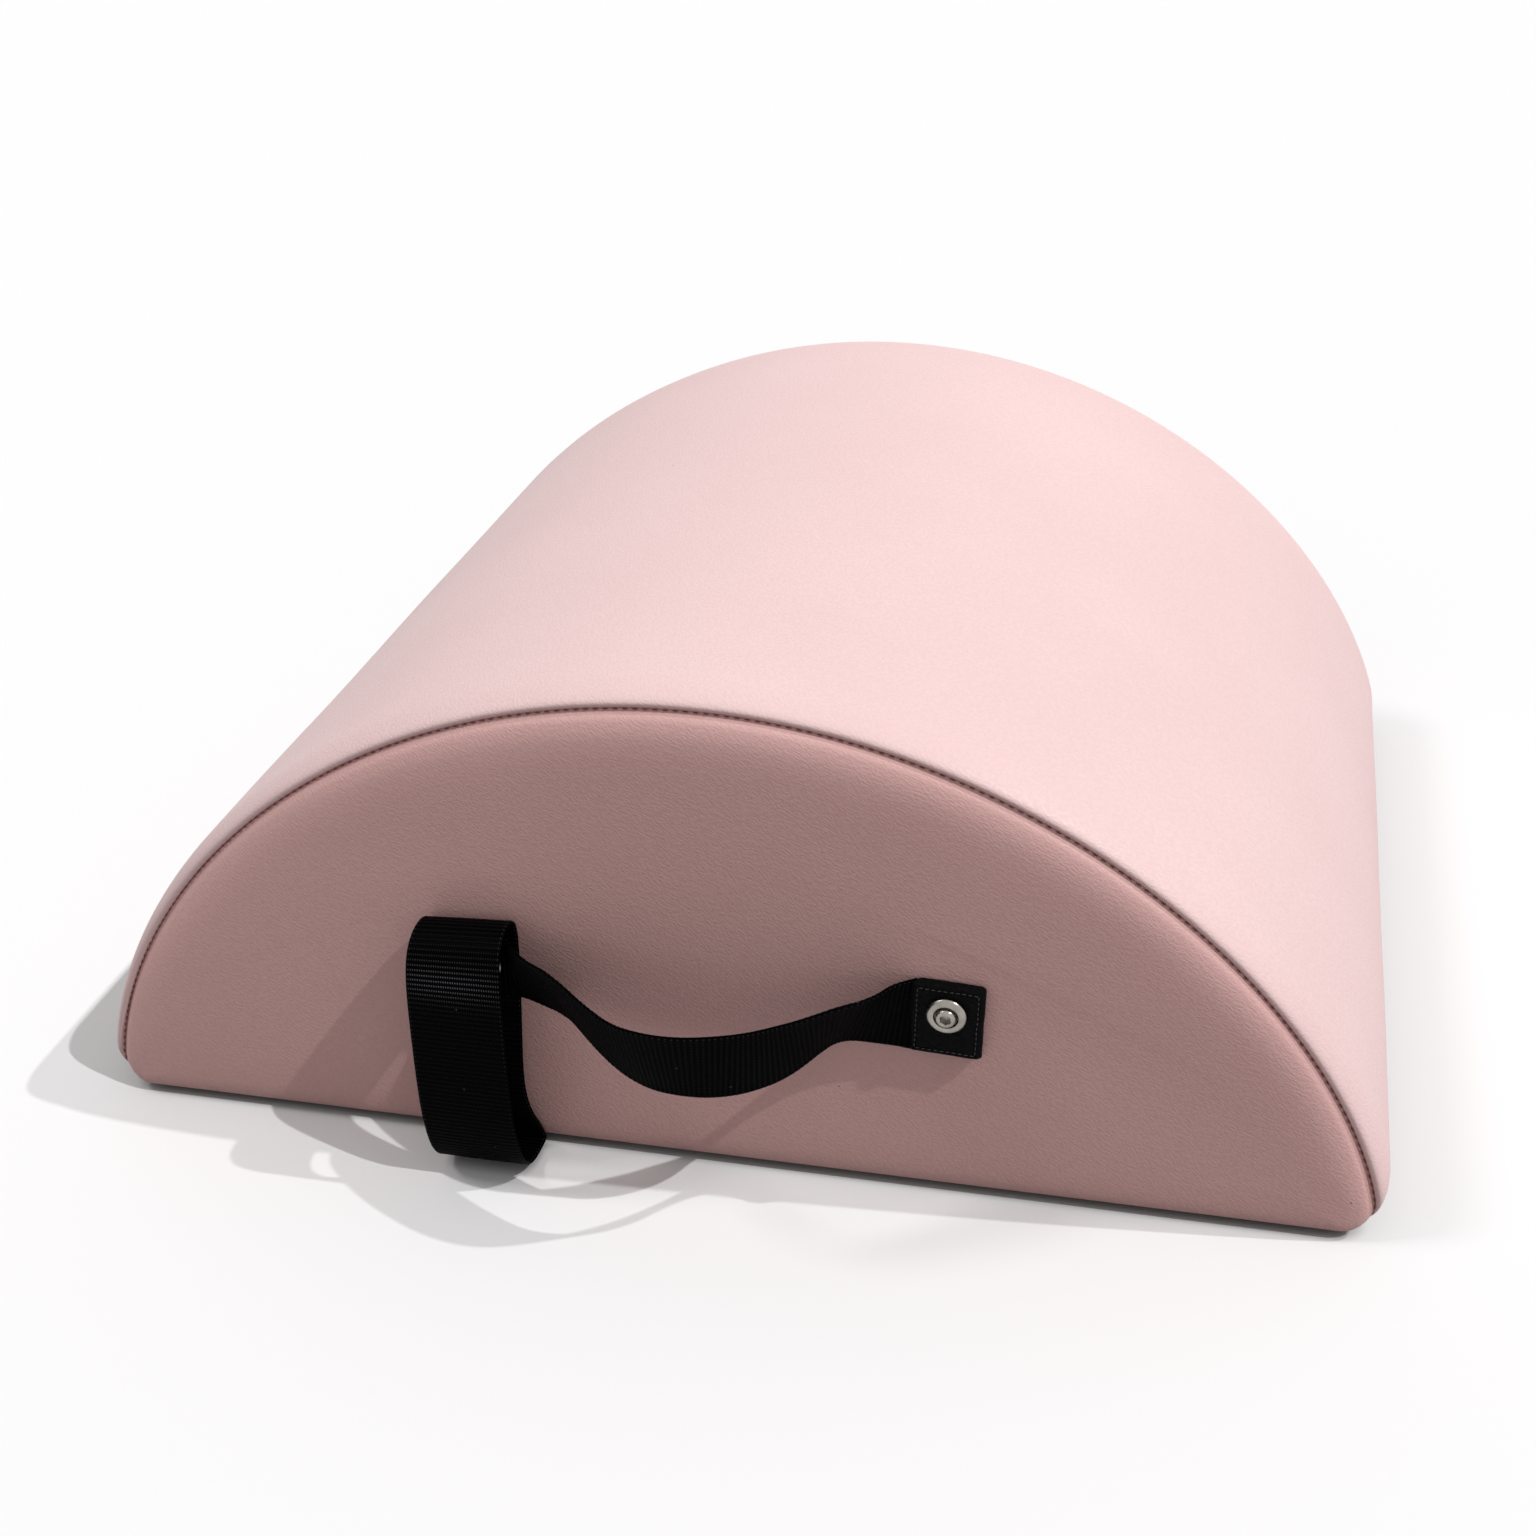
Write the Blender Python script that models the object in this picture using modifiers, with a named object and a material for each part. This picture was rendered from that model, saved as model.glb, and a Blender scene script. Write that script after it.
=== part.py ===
# Pilates arc: a padded half barrel on a plywood frame, with a webbing handle and a hand loop on its front end.
# Metres, +Z up, +X along the chord of the arch. The strap end faces -Y. Z = 0 is the floor.
import math

import bmesh
import bpy
from mathutils import Matrix, Vector

# Body sizes
OVERALL_HEIGHT = 0.240
ARC_HALF_CHORD = 0.3051     # the arch curve's half width; its rounded corners bring the body to 0.600 overall
ARC_RISE_POWER = 1.25       # 1 is an ellipse, more is leaner at the shoulders
BODY_DEPTH = 0.480          # from end seam to end seam
GROUND_GAP = 0.006          # under the cover, where the feet show
CORNER_R = 0.024            # rounding of the body's two lower corners

# Layers, from the outside in
COVER_T = 0.0012
ARCH_FOAM_T = 0.025
SKIN_T = 0.004
BOARD_T = 0.012
FORMER_T = 0.015
END_PAD_DEPTH = 0.012       # from the end seam back to the wooden core
DUST_COVER_T = 0.0008
CLEARANCE = 0.0003          # between faces that touch
FOAM_CLEARANCE = 0.0004     # between a cover and the foam under it

# Seams and hems of the cover
SEAM_INSET = 0.0075         # the end seam lies this far inside the arch's outline
SEAM_GAP = 0.0003
SEAM_FLOOR_SETBACK = 0.007  # how far back the end panel rolls where it meets the underside
HEM = 0.030                 # cover turned under the base board
DUST_COVER_MARGIN = 0.010   # from the foot of the cover to the edge of the dust cover
DUST_COVER_CORNER = 0.008

# Round the rolled edge of the arch cover, from the seam out: inset from the arch outline, set back from the seam
# plane along the arch, and set back behind SEAM_FLOOR_SETBACK where the edge passes under the body
ROLLED_EDGE = (
    (SEAM_INSET, 0.0009, 0.0009),
    (0.0060, 0.0001, 0.0014),
    (0.0033, 0.0009, 0.0019),
    (0.0012, 0.0033, 0.0024),
    (0.0, 0.0075, 0.0029),
)
# Crown of the padded end panel, from the seam to the middle: distance in from the seam, set back from the seam
# plane along the arch, and along the underside
PANEL_CROWN = (
    (0.0, 0.0009, SEAM_FLOOR_SETBACK),
    (0.0015, 0.0001, 0.0032),
    (0.0045, -0.0010, 0.0008),
    (0.012, -0.0021, -0.0014),
    (0.030, -0.0028, -0.0026),
    (0.070, -0.0030, -0.0030),
)
FACE_CROWN = 0.0030         # the panel's middle stands this far in front of the seam plane

# Frame timbers
STRINGER_W = 0.040
STRINGER_T = 0.020
STRINGER_SAG = 0.0013       # a flat batten's middle lies this far inside the curve
SIDE_STRINGER_HEIGHT = 0.110
FRAME_SCREW_X = ARC_HALF_CHORD - 0.1151
FRAME_SCREW_REACH = 0.026   # into a former
WOOD_SCREW_R = 0.002
WOOD_SCREW_HEAD_R = 0.004
WOOD_SCREW_HEAD_T = 0.0024
WOOD_THREAD_SLACK = 1.5     # clearances between a wood screw's thread and its hole

# Feet
FOOT_X = ARC_HALF_CHORD - 0.0901
FOOT_Y = BODY_DEPTH / 2 - 0.070
FOOT_R = 0.016
FOOT_CHAMFER = 0.0012
FOOT_SCREW_RECESS = 0.0007
FOOT_SCREW_REACH = 0.009    # into the base board

# Anchors of the straps, on the front end
RIGHT_ANCHOR_X = 0.1142
RIGHT_ANCHOR_Z = 0.1025
LEFT_ANCHOR_X = -0.0915
LEFT_ANCHOR_Z = 0.1065
SCREW_R = 0.003
SCREW_HEAD_R = 0.0044
SCREW_HEAD_T = 0.0026
SCREW_SOCKET_R = 0.0023
SCREW_SOCKET_DEPTH = 0.0014
WASHER_R = 0.0087
WASHER_T = 0.0027
WASHER_FLOOR_T = 0.0012
TEE_NUT_R = 0.0095
TEE_NUT_FLANGE_T = 0.0015
TEE_NUT_BARREL_R = 0.004
TEE_NUT_BARREL = 0.010
THREAD_CLEARANCE = 0.0004
SCREW_HOLE_R = SCREW_R + THREAD_CLEARANCE
SCREW_TIP = 0.002           # past the tee nut's flange
STRAP_BORE_REACH = 0.012    # from the panel, past every ply
BORE_OVERSHOOT = 0.002

# Webbing
WEB_T = 0.0018
PLY_GAP = 0.0004            # between two plies of one fold
HANDLE_WEB_W = 0.038
HANDLE_LEFT_WEB_W = 0.030   # gathered under the left washer
LOOP_WEB_W = 0.044
LOOP_BACK_WEB_W = 0.037     # gathered where the loop lies on the panel
LOOP_X = -0.097             # middle of the hand loop's webbing
LOOP_CLEARANCE = 0.0007     # on both faces of the loop's back band, which turns between the panel and the handle

# Handle: its plies end on these lines, and the free webbing bows out between them
RIGHT_TAB_INNER_X = 0.099
RIGHT_TAB_OUTER_X = 0.1295
LEFT_TAB_INNER_X = -0.080
LEFT_TAB_OUTER_X = -0.106
TAB_SAG = 0.0025            # the webbing's middle lies this far below the screws
RIGHT_TAB_TILT = 3.0        # degrees that the right tab's outer end hangs
BOW_REACH = 0.0486          # how far its middle stands out from the anchors
BOW_SKEW = 0.97
BOW_FULLNESS = 1.37
BOW_DROP = 0.0055
BOW_LEAN_MIDDLE = 13.4      # degrees that the top edge leans out, at the middle
BOW_LEAN_ENDS = 79.5        # added towards the ends, before the webbing lies flat at its tabs
BOW_FLATTEN = 1.5
BOW_GATHER = 0.08           # share of the length over which the left end is gathered
BOW_CUT_LEFT_X = -0.056     # the moving stretch of the handle lies between these two
BOW_CUT_RIGHT_X = 0.073

# Side view of the hand loop: control points of a closed smooth curve, as distance out from the panel, height, and
# how far the webbing is gathered there, from 0 to 1
LOOP_BACK_OUT = LOOP_CLEARANCE + WEB_T / 2
LOOP_SHAPE = (
    (LOOP_BACK_OUT, 0.084, 1.0), (LOOP_BACK_OUT, 0.0975, 1.0), (LOOP_BACK_OUT, 0.111, 1.0),
    (LOOP_BACK_OUT, 0.1225, 1.0), (0.0052, 0.1290, 0.8), (0.0155, 0.1300, 0.5), (0.0255, 0.1245, 0.2),
    (0.0300, 0.110, 0.0), (0.0325, 0.089, 0.0), (0.0345, 0.064, 0.0), (0.0355, 0.040, 0.0), (0.0320, 0.018, 0.0),
    (0.0235, 0.0060, 0.0), (0.0120, 0.0038, 0.0), (0.0025, 0.0078, 0.1), (0.0055, 0.017, 0.2),
    (0.0130, 0.028, 0.3), (0.0150, 0.042, 0.4), (0.0120, 0.056, 0.6), (0.0060, 0.070, 0.9),
)

# Smoothness of the meshes
CORNER_STEPS = 5
FOOT_STEPS = 2
ARCH_STEPS = 18
LEAST_STEP = 0.01           # radians between two angles of one layer
TURN_STEPS = 20
BOW_STEPS = 36
LOOP_STEPS = 3
FOLD_STEPS = 4

# Sizes that follow
SEAM_Y = -BODY_DEPTH / 2
FACE_Y = SEAM_Y - FACE_CROWN
CORE_HALF = BODY_DEPTH / 2 - END_PAD_DEPTH
FOAM_INSET = COVER_T + CLEARANCE
SKIN_INSET = FOAM_INSET + ARCH_FOAM_T + CLEARANCE
FORMER_INSET = SKIN_INSET + SKIN_T + CLEARANCE
HEM_TOP = GROUND_GAP + COVER_T
BOARD_BOTTOM = HEM_TOP + 2 * CLEARANCE
BOARD_TOP = BOARD_BOTTOM + BOARD_T
CORE_FLOOR = BOARD_TOP + CLEARANCE
FRONT_FORMER_Y = -CORE_HALF + FORMER_T / 2
DUST_COVER_TOP = GROUND_GAP - CLEARANCE
DUST_COVER_BOTTOM = DUST_COVER_TOP - DUST_COVER_T
FOOT_T = DUST_COVER_BOTTOM - CLEARANCE
RIGHT_BACK_OUT = CLEARANCE + WEB_T / 2
RIGHT_FRONT_OUT = RIGHT_BACK_OUT + WEB_T + PLY_GAP
LEFT_BACK_OUT = LOOP_BACK_OUT + WEB_T + LOOP_CLEARANCE
LEFT_FRONT_OUT = LEFT_BACK_OUT + WEB_T + PLY_GAP
ANCHORS = (
    ("right", RIGHT_ANCHOR_X, RIGHT_ANCHOR_Z, RIGHT_FRONT_OUT + WEB_T / 2 + CLEARANCE),
    ("left", LEFT_ANCHOR_X, LEFT_ANCHOR_Z, LEFT_FRONT_OUT + WEB_T / 2 + CLEARANCE),
)


# Scene, materials and placing
for old in list(bpy.data.objects):
    bpy.data.objects.remove(old, do_unlink=True)

PARTS = bpy.data.collections.new("pilates_arc")
CUTTERS = bpy.data.collections.new("cutters")
bpy.context.scene.collection.children.link(PARTS)
bpy.context.scene.collection.children.link(CUTTERS)


def material(name, colour, roughness, metallic=0.0):
    """A Principled material in the finish of one kind of stock"""
    made = bpy.data.materials.new(name)
    made.use_nodes = True
    shader = made.node_tree.nodes["Principled BSDF"]
    shader.inputs["Base Color"].default_value = (*colour, 1.0)
    shader.inputs["Roughness"].default_value = roughness
    shader.inputs["Metallic"].default_value = metallic
    made.diffuse_color = (*colour, 1.0)
    return made


PINK_LEATHER = material("pink_leather", (0.76, 0.50, 0.49), 0.55)
FOAM = material("upholstery_foam", (0.86, 0.82, 0.62), 0.95)
PLYWOOD = material("birch_plywood", (0.72, 0.54, 0.34), 0.7)
PINE = material("pine_batten", (0.78, 0.60, 0.38), 0.7)
NON_WOVEN = material("black_non_woven", (0.03, 0.03, 0.03), 0.95)
WEBBING = material("black_webbing", (0.012, 0.012, 0.014), 0.6)
RUBBER = material("black_rubber", (0.02, 0.02, 0.02), 0.8)
NICKEL = material("brushed_nickel", (0.72, 0.69, 0.64), 0.3, 1.0)
ZINC = material("zinc_plated_steel", (0.62, 0.64, 0.66), 0.4, 1.0)


def empty(name, place, parent=None):
    """A named axis or frame that pieces hang from"""
    made = bpy.data.objects.new(name, None)
    made.empty_display_size = 0.02
    made.location = place
    made.parent = parent
    PARTS.objects.link(made)
    return made


def add_part(name, mesh, finish, parent, smooth_angle=None):
    """Place a mesh, drawn in body coordinates, as one named piece under its parent empty"""
    if parent is not BODY:
        mesh.transform(Matrix.Translation(-parent.location))
    mesh.materials.append(finish)
    if smooth_angle is not None:
        mesh.shade_smooth()
        mesh.set_sharp_from_angle(angle=math.radians(smooth_angle))
    made = bpy.data.objects.new(name, mesh)
    made.parent = parent
    PARTS.objects.link(made)
    return made


def add_cutter(name, mesh):
    """A body that only cuts others"""
    made = bpy.data.objects.new(name, mesh)
    made.parent = BODY
    made.hide_render = True
    made.display_type = "WIRE"
    CUTTERS.objects.link(made)
    return made


def cut(part, *cutters):
    """Cut each cutter out of a piece"""
    for cutter in cutters:
        modifier = part.modifiers.new("cut_" + cutter.name, "BOOLEAN")
        modifier.operation = "DIFFERENCE"
        modifier.object = cutter


def finished_mesh(name, bm):
    """Turn a bmesh into a mesh"""
    mesh = bpy.data.meshes.new(name)
    bm.to_mesh(mesh)
    bm.free()
    return mesh


def evaluated_mesh(name, made):
    """The mesh of an object with its modifiers, welded; the object goes"""
    depsgraph = bpy.context.evaluated_depsgraph_get()
    mesh = bpy.data.meshes.new_from_object(made.evaluated_get(depsgraph))
    mesh.transform(made.matrix_world)
    bpy.data.objects.remove(made)
    bm = bmesh.new()
    bm.from_mesh(mesh)
    bmesh.ops.remove_doubles(bm, verts=bm.verts, dist=1e-6)
    bmesh.ops.recalc_face_normals(bm, faces=bm.faces)
    mesh.name = name
    bm.to_mesh(mesh)
    bm.free()
    return mesh


# Shapes shared by several pieces
def arch_point(angle, inset):
    """Point of the arch curve at an angle from its foot, drawn inset inside it, and the outward normal there"""
    sine, cosine = math.sin(angle), math.cos(angle)
    rise = OVERALL_HEIGHT - GROUND_GAP
    along_x = -ARC_HALF_CHORD * sine
    along_z = rise * ARC_RISE_POWER * sine ** (ARC_RISE_POWER - 1) * cosine
    size = math.hypot(along_x, along_z)
    normal = (along_z / size, -along_x / size)
    x = ARC_HALF_CHORD * cosine - inset * normal[0]
    z = GROUND_GAP + rise * sine ** ARC_RISE_POWER - inset * normal[1]
    return x, z, normal


def arch_angle(inset, height):
    """Angle at which the inset arch curve reaches a height"""
    low, high = 1e-4, math.pi / 2
    for _ in range(40):
        middle = (low + high) / 2
        if arch_point(middle, inset)[1] < height:
            low = middle
        else:
            high = middle
    return high


def even_angles(first, last, steps):
    """Angles from the first, in even steps, up to but not including the last"""
    return [first + (last - first) * step / steps for step in range(steps)]


def arch_side(inset, floor, corner_r=0.0):
    """Right half of an arch outline, from its foot up to the crown, as (x, z). With a corner radius it starts on
    the underside. Without one it has its own foot, and then the same angles as every other layer."""
    start = arch_angle(inset + corner_r, floor + corner_r)
    points = []
    if corner_r:
        centre_x, centre_z, normal = arch_point(start, inset + corner_r)
        for turn in even_angles(-math.pi / 2, math.atan2(normal[1], normal[0]), CORNER_STEPS):
            points.append((centre_x + corner_r * math.cos(turn), centre_z + corner_r * math.sin(turn)))
        angles = even_angles(start, math.pi / 2, ARCH_STEPS)
    else:
        corner_end = arch_angle(CORNER_R, GROUND_GAP + CORNER_R)
        shared = even_angles(0.0, corner_end, FOOT_STEPS) + even_angles(corner_end, math.pi / 2, ARCH_STEPS)
        angles = [start] + [angle for angle in shared if angle > start + LEAST_STEP]
    points += [arch_point(angle, inset)[:2] for angle in angles]
    return points + [(0.0, arch_point(math.pi / 2, inset)[1])]


def both_sides(side):
    """A right half outline and its mirror image, from right foot over the crown to left foot"""
    return side + [(-x, z) for x, z in reversed(side[:-1])]


def arch_loop(inset, floor, y_arch, y_floor):
    """One loop round the body, from the right hem line over the crown to the left hem line, as points in space.
    It lies at y_arch along the arch and eases to y_floor where it passes the corner onto the underside."""
    side = arch_side(inset, floor, max(CORNER_R - inset, CLEARANCE))
    shares = []
    for step in range(len(side)):
        turned = min(step / CORNER_STEPS, 1.0)
        shares.append(1 - turned * turned * (3 - 2 * turned))
    hem_x = arch_side(0.0, GROUND_GAP, CORNER_R)[0][0] - HEM
    side = [(min(hem_x, side[0][0] - CORNER_R / 2), side[0][1])] + side
    shares = [1.0] + shares
    outline = both_sides(side)
    shares = shares + shares[-2::-1]
    return [Vector((x, y_arch + (y_floor - y_arch) * share, z)) for (x, z), share in zip(outline, shares)]


def panel_loops():
    """Loops of the front end panel, from its middle to its seam"""
    loops = []
    for inward, set_back, floor_set_back in reversed(PANEL_CROWN):
        loops.append(arch_loop(SEAM_INSET + SEAM_GAP + inward, GROUND_GAP + inward,
                               SEAM_Y + set_back, SEAM_Y + floor_set_back))
    return loops


def rolled_edge_loops():
    """Loops of the arch cover's front edge, from its seam to where it runs straight"""
    loops = []
    for inset, set_back, floor_set_back in ROLLED_EDGE:
        loops.append(arch_loop(inset, GROUND_GAP, SEAM_Y + set_back, SEAM_Y + SEAM_FLOOR_SETBACK + floor_set_back))
    return loops


def mirrored(loops):
    """The same loops at the rear end, in order from front to rear"""
    return [[Vector((p.x, -p.y, p.z)) for p in loop] for loop in reversed(loops)]


def skin_loops(bm, loops, closed):
    """Join neighbouring loops with faces that look outwards; a closed loop also gets its stretch underneath"""
    rows = [[bm.verts.new(point) for point in loop] for loop in loops]
    for row, following in zip(rows, rows[1:]):
        count = len(row)
        for i in range(count if closed else count - 1):
            j = (i + 1) % count
            bm.faces.new((row[i], following[i], following[j], row[j]))
    return rows


def shell_object(name, bm, finish, thickness, smooth_angle=None):
    """An open surface thickened inwards"""
    made = add_part(name, finished_mesh(name, bm), finish, BODY, smooth_angle)
    solidify = made.modifiers.new("thickness", "SOLIDIFY")
    solidify.thickness = thickness
    solidify.offset = -1.0
    solidify.use_even_offset = True
    return made


def flat_mesh(name, outline, y_front, y_back):
    """A flat piece cut to an (x, z) outline that stands across the body"""
    curve = bpy.data.curves.new(name, "CURVE")
    curve.dimensions = "2D"
    curve.fill_mode = "BOTH"
    curve.extrude = (y_back - y_front) / 2
    spline = curve.splines.new("POLY")
    spline.points.add(len(outline) - 1)
    for point, (x, z) in zip(spline.points, outline):
        point.co = (x, z, 0.0, 1.0)
    spline.use_cyclic_u = True
    made = bpy.data.objects.new(name, curve)
    PARTS.objects.link(made)
    made.location = (0.0, (y_front + y_back) / 2, 0.0)
    made.rotation_euler = (math.pi / 2, 0.0, 0.0)
    bpy.context.view_layer.update()
    return evaluated_mesh(name, made)


def box_mesh(name, low, high):
    """A box between two corners"""
    low, high = Vector(low), Vector(high)
    bm = bmesh.new()
    bmesh.ops.create_cube(bm, size=1.0)
    bmesh.ops.scale(bm, vec=high - low, verts=bm.verts)
    bmesh.ops.translate(bm, vec=(low + high) / 2, verts=bm.verts)
    return finished_mesh(name, bm)


def joined_mesh(name, meshes):
    """Several separate bodies in one mesh"""
    bm = bmesh.new()
    for mesh in meshes:
        bm.from_mesh(mesh)
        bpy.data.meshes.remove(mesh)
    return finished_mesh(name, bm)


def turned_mesh(name, profile, place=(0.0, 0.0, 0.0), axis="Z", closed=True, steps=TURN_STEPS):
    """A turned piece: a profile of (radius, height), spun about its own axis, which then points along +Z or -Y.
    A closed profile makes a ring, and an open one starts and ends on the axis."""
    bm = bmesh.new()
    verts = [bm.verts.new((radius, 0.0, height)) for radius, height in profile]
    ends = zip(verts, verts[1:] + verts[:1]) if closed else zip(verts, verts[1:])
    for a, b in list(ends):
        bm.edges.new((a, b))
    made = bpy.data.objects.new(name, finished_mesh(name, bm))
    PARTS.objects.link(made)
    screw = made.modifiers.new("turn", "SCREW")
    screw.axis = "Z"
    screw.steps = steps
    screw.render_steps = steps
    screw.use_merge_vertices = True
    screw.merge_threshold = 1e-5
    made.location = place
    if axis == "-Y":
        made.rotation_euler = (math.pi / 2, 0.0, 0.0)
    bpy.context.view_layer.update()
    return evaluated_mesh(name, made)


def rod_profile(radius, low, high):
    """Profile of a plain round bar"""
    return ((0.0, low), (radius, low), (radius, high), (0.0, high))


# The handle's webbing
def bow_point(share):
    """Centre of the handle's free webbing, its lean and its width, at a share of the way from left to right"""
    swell = math.sin(math.pi * share ** BOW_SKEW) ** BOW_FULLNESS
    out = LEFT_FRONT_OUT + (RIGHT_FRONT_OUT - LEFT_FRONT_OUT) * share + BOW_REACH * swell
    x = LEFT_TAB_INNER_X + (RIGHT_TAB_INNER_X - LEFT_TAB_INNER_X) * share
    left_z = LEFT_ANCHOR_Z - TAB_SAG
    right_z = right_tab_z(RIGHT_TAB_INNER_X)
    z = left_z + (right_z - left_z) * share - BOW_DROP * math.sin(math.pi * share) ** 2
    from_middle = (2 * share - 1) ** 2
    lean = math.radians((BOW_LEAN_MIDDLE + BOW_LEAN_ENDS * from_middle) * (1 - from_middle ** BOW_FLATTEN))
    eased = min(share / BOW_GATHER, 1.0)
    eased = eased * eased * (3 - 2 * eased)
    width = HANDLE_LEFT_WEB_W + (HANDLE_WEB_W - HANDLE_LEFT_WEB_W) * eased
    return Vector((x, FACE_Y - out, z)), lean, width


def fold_points(inner_x, outer_x, front_out, back_out, width, middle_z):
    """The same for a flat end folded back behind itself, from beside the free webbing to its cut end"""
    radius = (front_out - back_out) / 2
    away = math.copysign(1.0, outer_x - inner_x)
    points = []
    for step in range(FOLD_STEPS + 1):
        turn = math.pi * step / FOLD_STEPS
        x = outer_x - away * radius * (1 - math.sin(turn))
        out = back_out + radius * (1 + math.cos(turn))
        points.append((Vector((x, FACE_Y - out, middle_z(x))), 0.0, width))
    points.append((Vector((inner_x, FACE_Y - back_out, middle_z(inner_x))), 0.0, width))
    return points


def right_tab_z(x):
    """Height of the right tab's middle line"""
    return RIGHT_ANCHOR_Z - TAB_SAG - math.tan(math.radians(RIGHT_TAB_TILT)) * (x - RIGHT_ANCHOR_X)


def left_tab_z(x):
    """Height of the left tab's middle line, which is level"""
    return LEFT_ANCHOR_Z - TAB_SAG


def handle_stations():
    """Centres and half widths along the handle webbing, from the end of its left fold to the end of its right one"""
    left = fold_points(LEFT_TAB_INNER_X, LEFT_TAB_OUTER_X, LEFT_FRONT_OUT, LEFT_BACK_OUT, HANDLE_LEFT_WEB_W,
                       left_tab_z)
    right = fold_points(RIGHT_TAB_INNER_X, RIGHT_TAB_OUTER_X, RIGHT_FRONT_OUT, RIGHT_BACK_OUT, HANDLE_WEB_W,
                        right_tab_z)
    points = left[::-1] + [bow_point(step / BOW_STEPS) for step in range(BOW_STEPS + 1)] + right
    stations = []
    for i, (centre, lean, width) in enumerate(points):
        along = (points[min(i + 1, len(points) - 1)][0] - points[max(i - 1, 0)][0]).normalized()
        across = Vector((0.0, -math.sin(lean), math.cos(lean)))
        across = (across - along * across.dot(along)).normalized()
        stations.append((centre, across * width / 2))
    return stations


def bow_front():
    """How far in front of the panel the handle's top edge reaches"""
    reach = 0.0
    for step in range(BOW_STEPS + 1):
        centre, lean, width = bow_point(step / BOW_STEPS)
        out = FACE_Y - centre.y + math.sin(lean) * width / 2 + math.cos(lean) * WEB_T / 2
        reach = max(reach, out)
    return reach


# The handle stands out in front, so the body's centre lies behind the origin by half of its reach
BODY_Y = bow_front() / 2
BODY = empty("pilates_arc_body", (0.0, BODY_Y, 0.0))
HANDLE_HINGE = empty("handle_hinge", ((LEFT_ANCHOR_X + RIGHT_ANCHOR_X) / 2, FACE_Y - RIGHT_FRONT_OUT,
                                      (LEFT_ANCHOR_Z + RIGHT_ANCHOR_Z) / 2), BODY)
LOOP_SWIVEL = empty("loop_swivel", (LEFT_ANCHOR_X, FACE_Y - LOOP_BACK_OUT, LEFT_ANCHOR_Z), BODY)


# Cutters for the fixings
def anchor_cutter(name, radius, out_low, out_high):
    """Round bores at both anchors, between two distances out from the panel"""
    bores = []
    for side, x, z, _ in ANCHORS:
        bores.append(turned_mesh(side, rod_profile(radius, out_low, out_high), (x, FACE_Y, z), "-Y", False))
    return add_cutter(name, joined_mesh(name, bores))


FORMER_BACK_OUT = FACE_Y + CORE_HALF - FORMER_T     # behind the panel, so below zero
STRAP_BORES = anchor_cutter("strap_bores", SCREW_HOLE_R, FORMER_BACK_OUT + FORMER_T + CLEARANCE,
                            STRAP_BORE_REACH)
TEE_NUT_BORES = anchor_cutter("tee_nut_bores", TEE_NUT_BARREL_R + CLEARANCE, FORMER_BACK_OUT - BORE_OVERSHOOT,
                              FORMER_BACK_OUT + FORMER_T + BORE_OVERSHOOT)

FORMERS = (("front_former", FRONT_FORMER_Y), ("middle_former", 0.0), ("rear_former", -FRONT_FORMER_Y))
FRAME_SCREWS = [(former + "_" + side + "_screw", (x, y, BOARD_BOTTOM))
                for former, y in FORMERS for side, x in (("left", -FRAME_SCREW_X), ("right", FRAME_SCREW_X))]
FEET = [(end + "_" + side + "_foot", (x, y))
        for end, y in (("front", -FOOT_Y), ("rear", FOOT_Y)) for side, x in (("left", -FOOT_X), ("right", FOOT_X))]
WOOD_SCREW_HOLE_R = WOOD_SCREW_R + WOOD_THREAD_SLACK * CLEARANCE


def wood_screw_mesh(name, place, length, grow=0.0):
    """A flat headed wood screw that points up from its head face; grow widens it for its hole"""
    head_r = WOOD_SCREW_HEAD_R + 2 * grow
    thread_r = WOOD_SCREW_R + WOOD_THREAD_SLACK * grow
    profile = ((0.0, 0.0), (head_r, 0.0), (thread_r, WOOD_SCREW_HEAD_T + 2 * grow),
               (thread_r, length - WOOD_SCREW_R), (0.0, length))
    return turned_mesh(name, profile, place, "Z", False, TURN_STEPS // 2)


frame_screw_l = BOARD_T + FRAME_SCREW_REACH
FRAME_SCREW_HOLES = add_cutter("frame_screw_holes", joined_mesh("frame_screw_holes", [
    wood_screw_mesh("hole", Vector(place) - Vector((0.0, 0.0, CLEARANCE)), frame_screw_l + 2 * CLEARANCE, CLEARANCE)
    for _, place in FRAME_SCREWS]))

foot_screw_l = BOARD_BOTTOM + FOOT_SCREW_REACH - FOOT_SCREW_RECESS
FOOT_SCREW_HOLES = add_cutter("foot_screw_holes", joined_mesh("foot_screw_holes", [
    turned_mesh("hole", rod_profile(WOOD_SCREW_HOLE_R, 0.0, BOARD_BOTTOM + FOOT_SCREW_REACH + CLEARANCE),
                (x, y, 0.0), "Z", False, TURN_STEPS // 2) for _, (x, y) in FEET]))


# Base board, with screw holes for the formers and the feet
board_half = arch_point(arch_angle(SKIN_INSET, BOARD_TOP), SKIN_INSET)[0]
base_board = add_part("base_board", box_mesh(
    "base_board", (-board_half, -CORE_HALF, BOARD_BOTTOM), (board_half, CORE_HALF, BOARD_TOP)), PLYWOOD, BODY)
cut(base_board, FRAME_SCREW_HOLES, FOOT_SCREW_HOLES)


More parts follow.
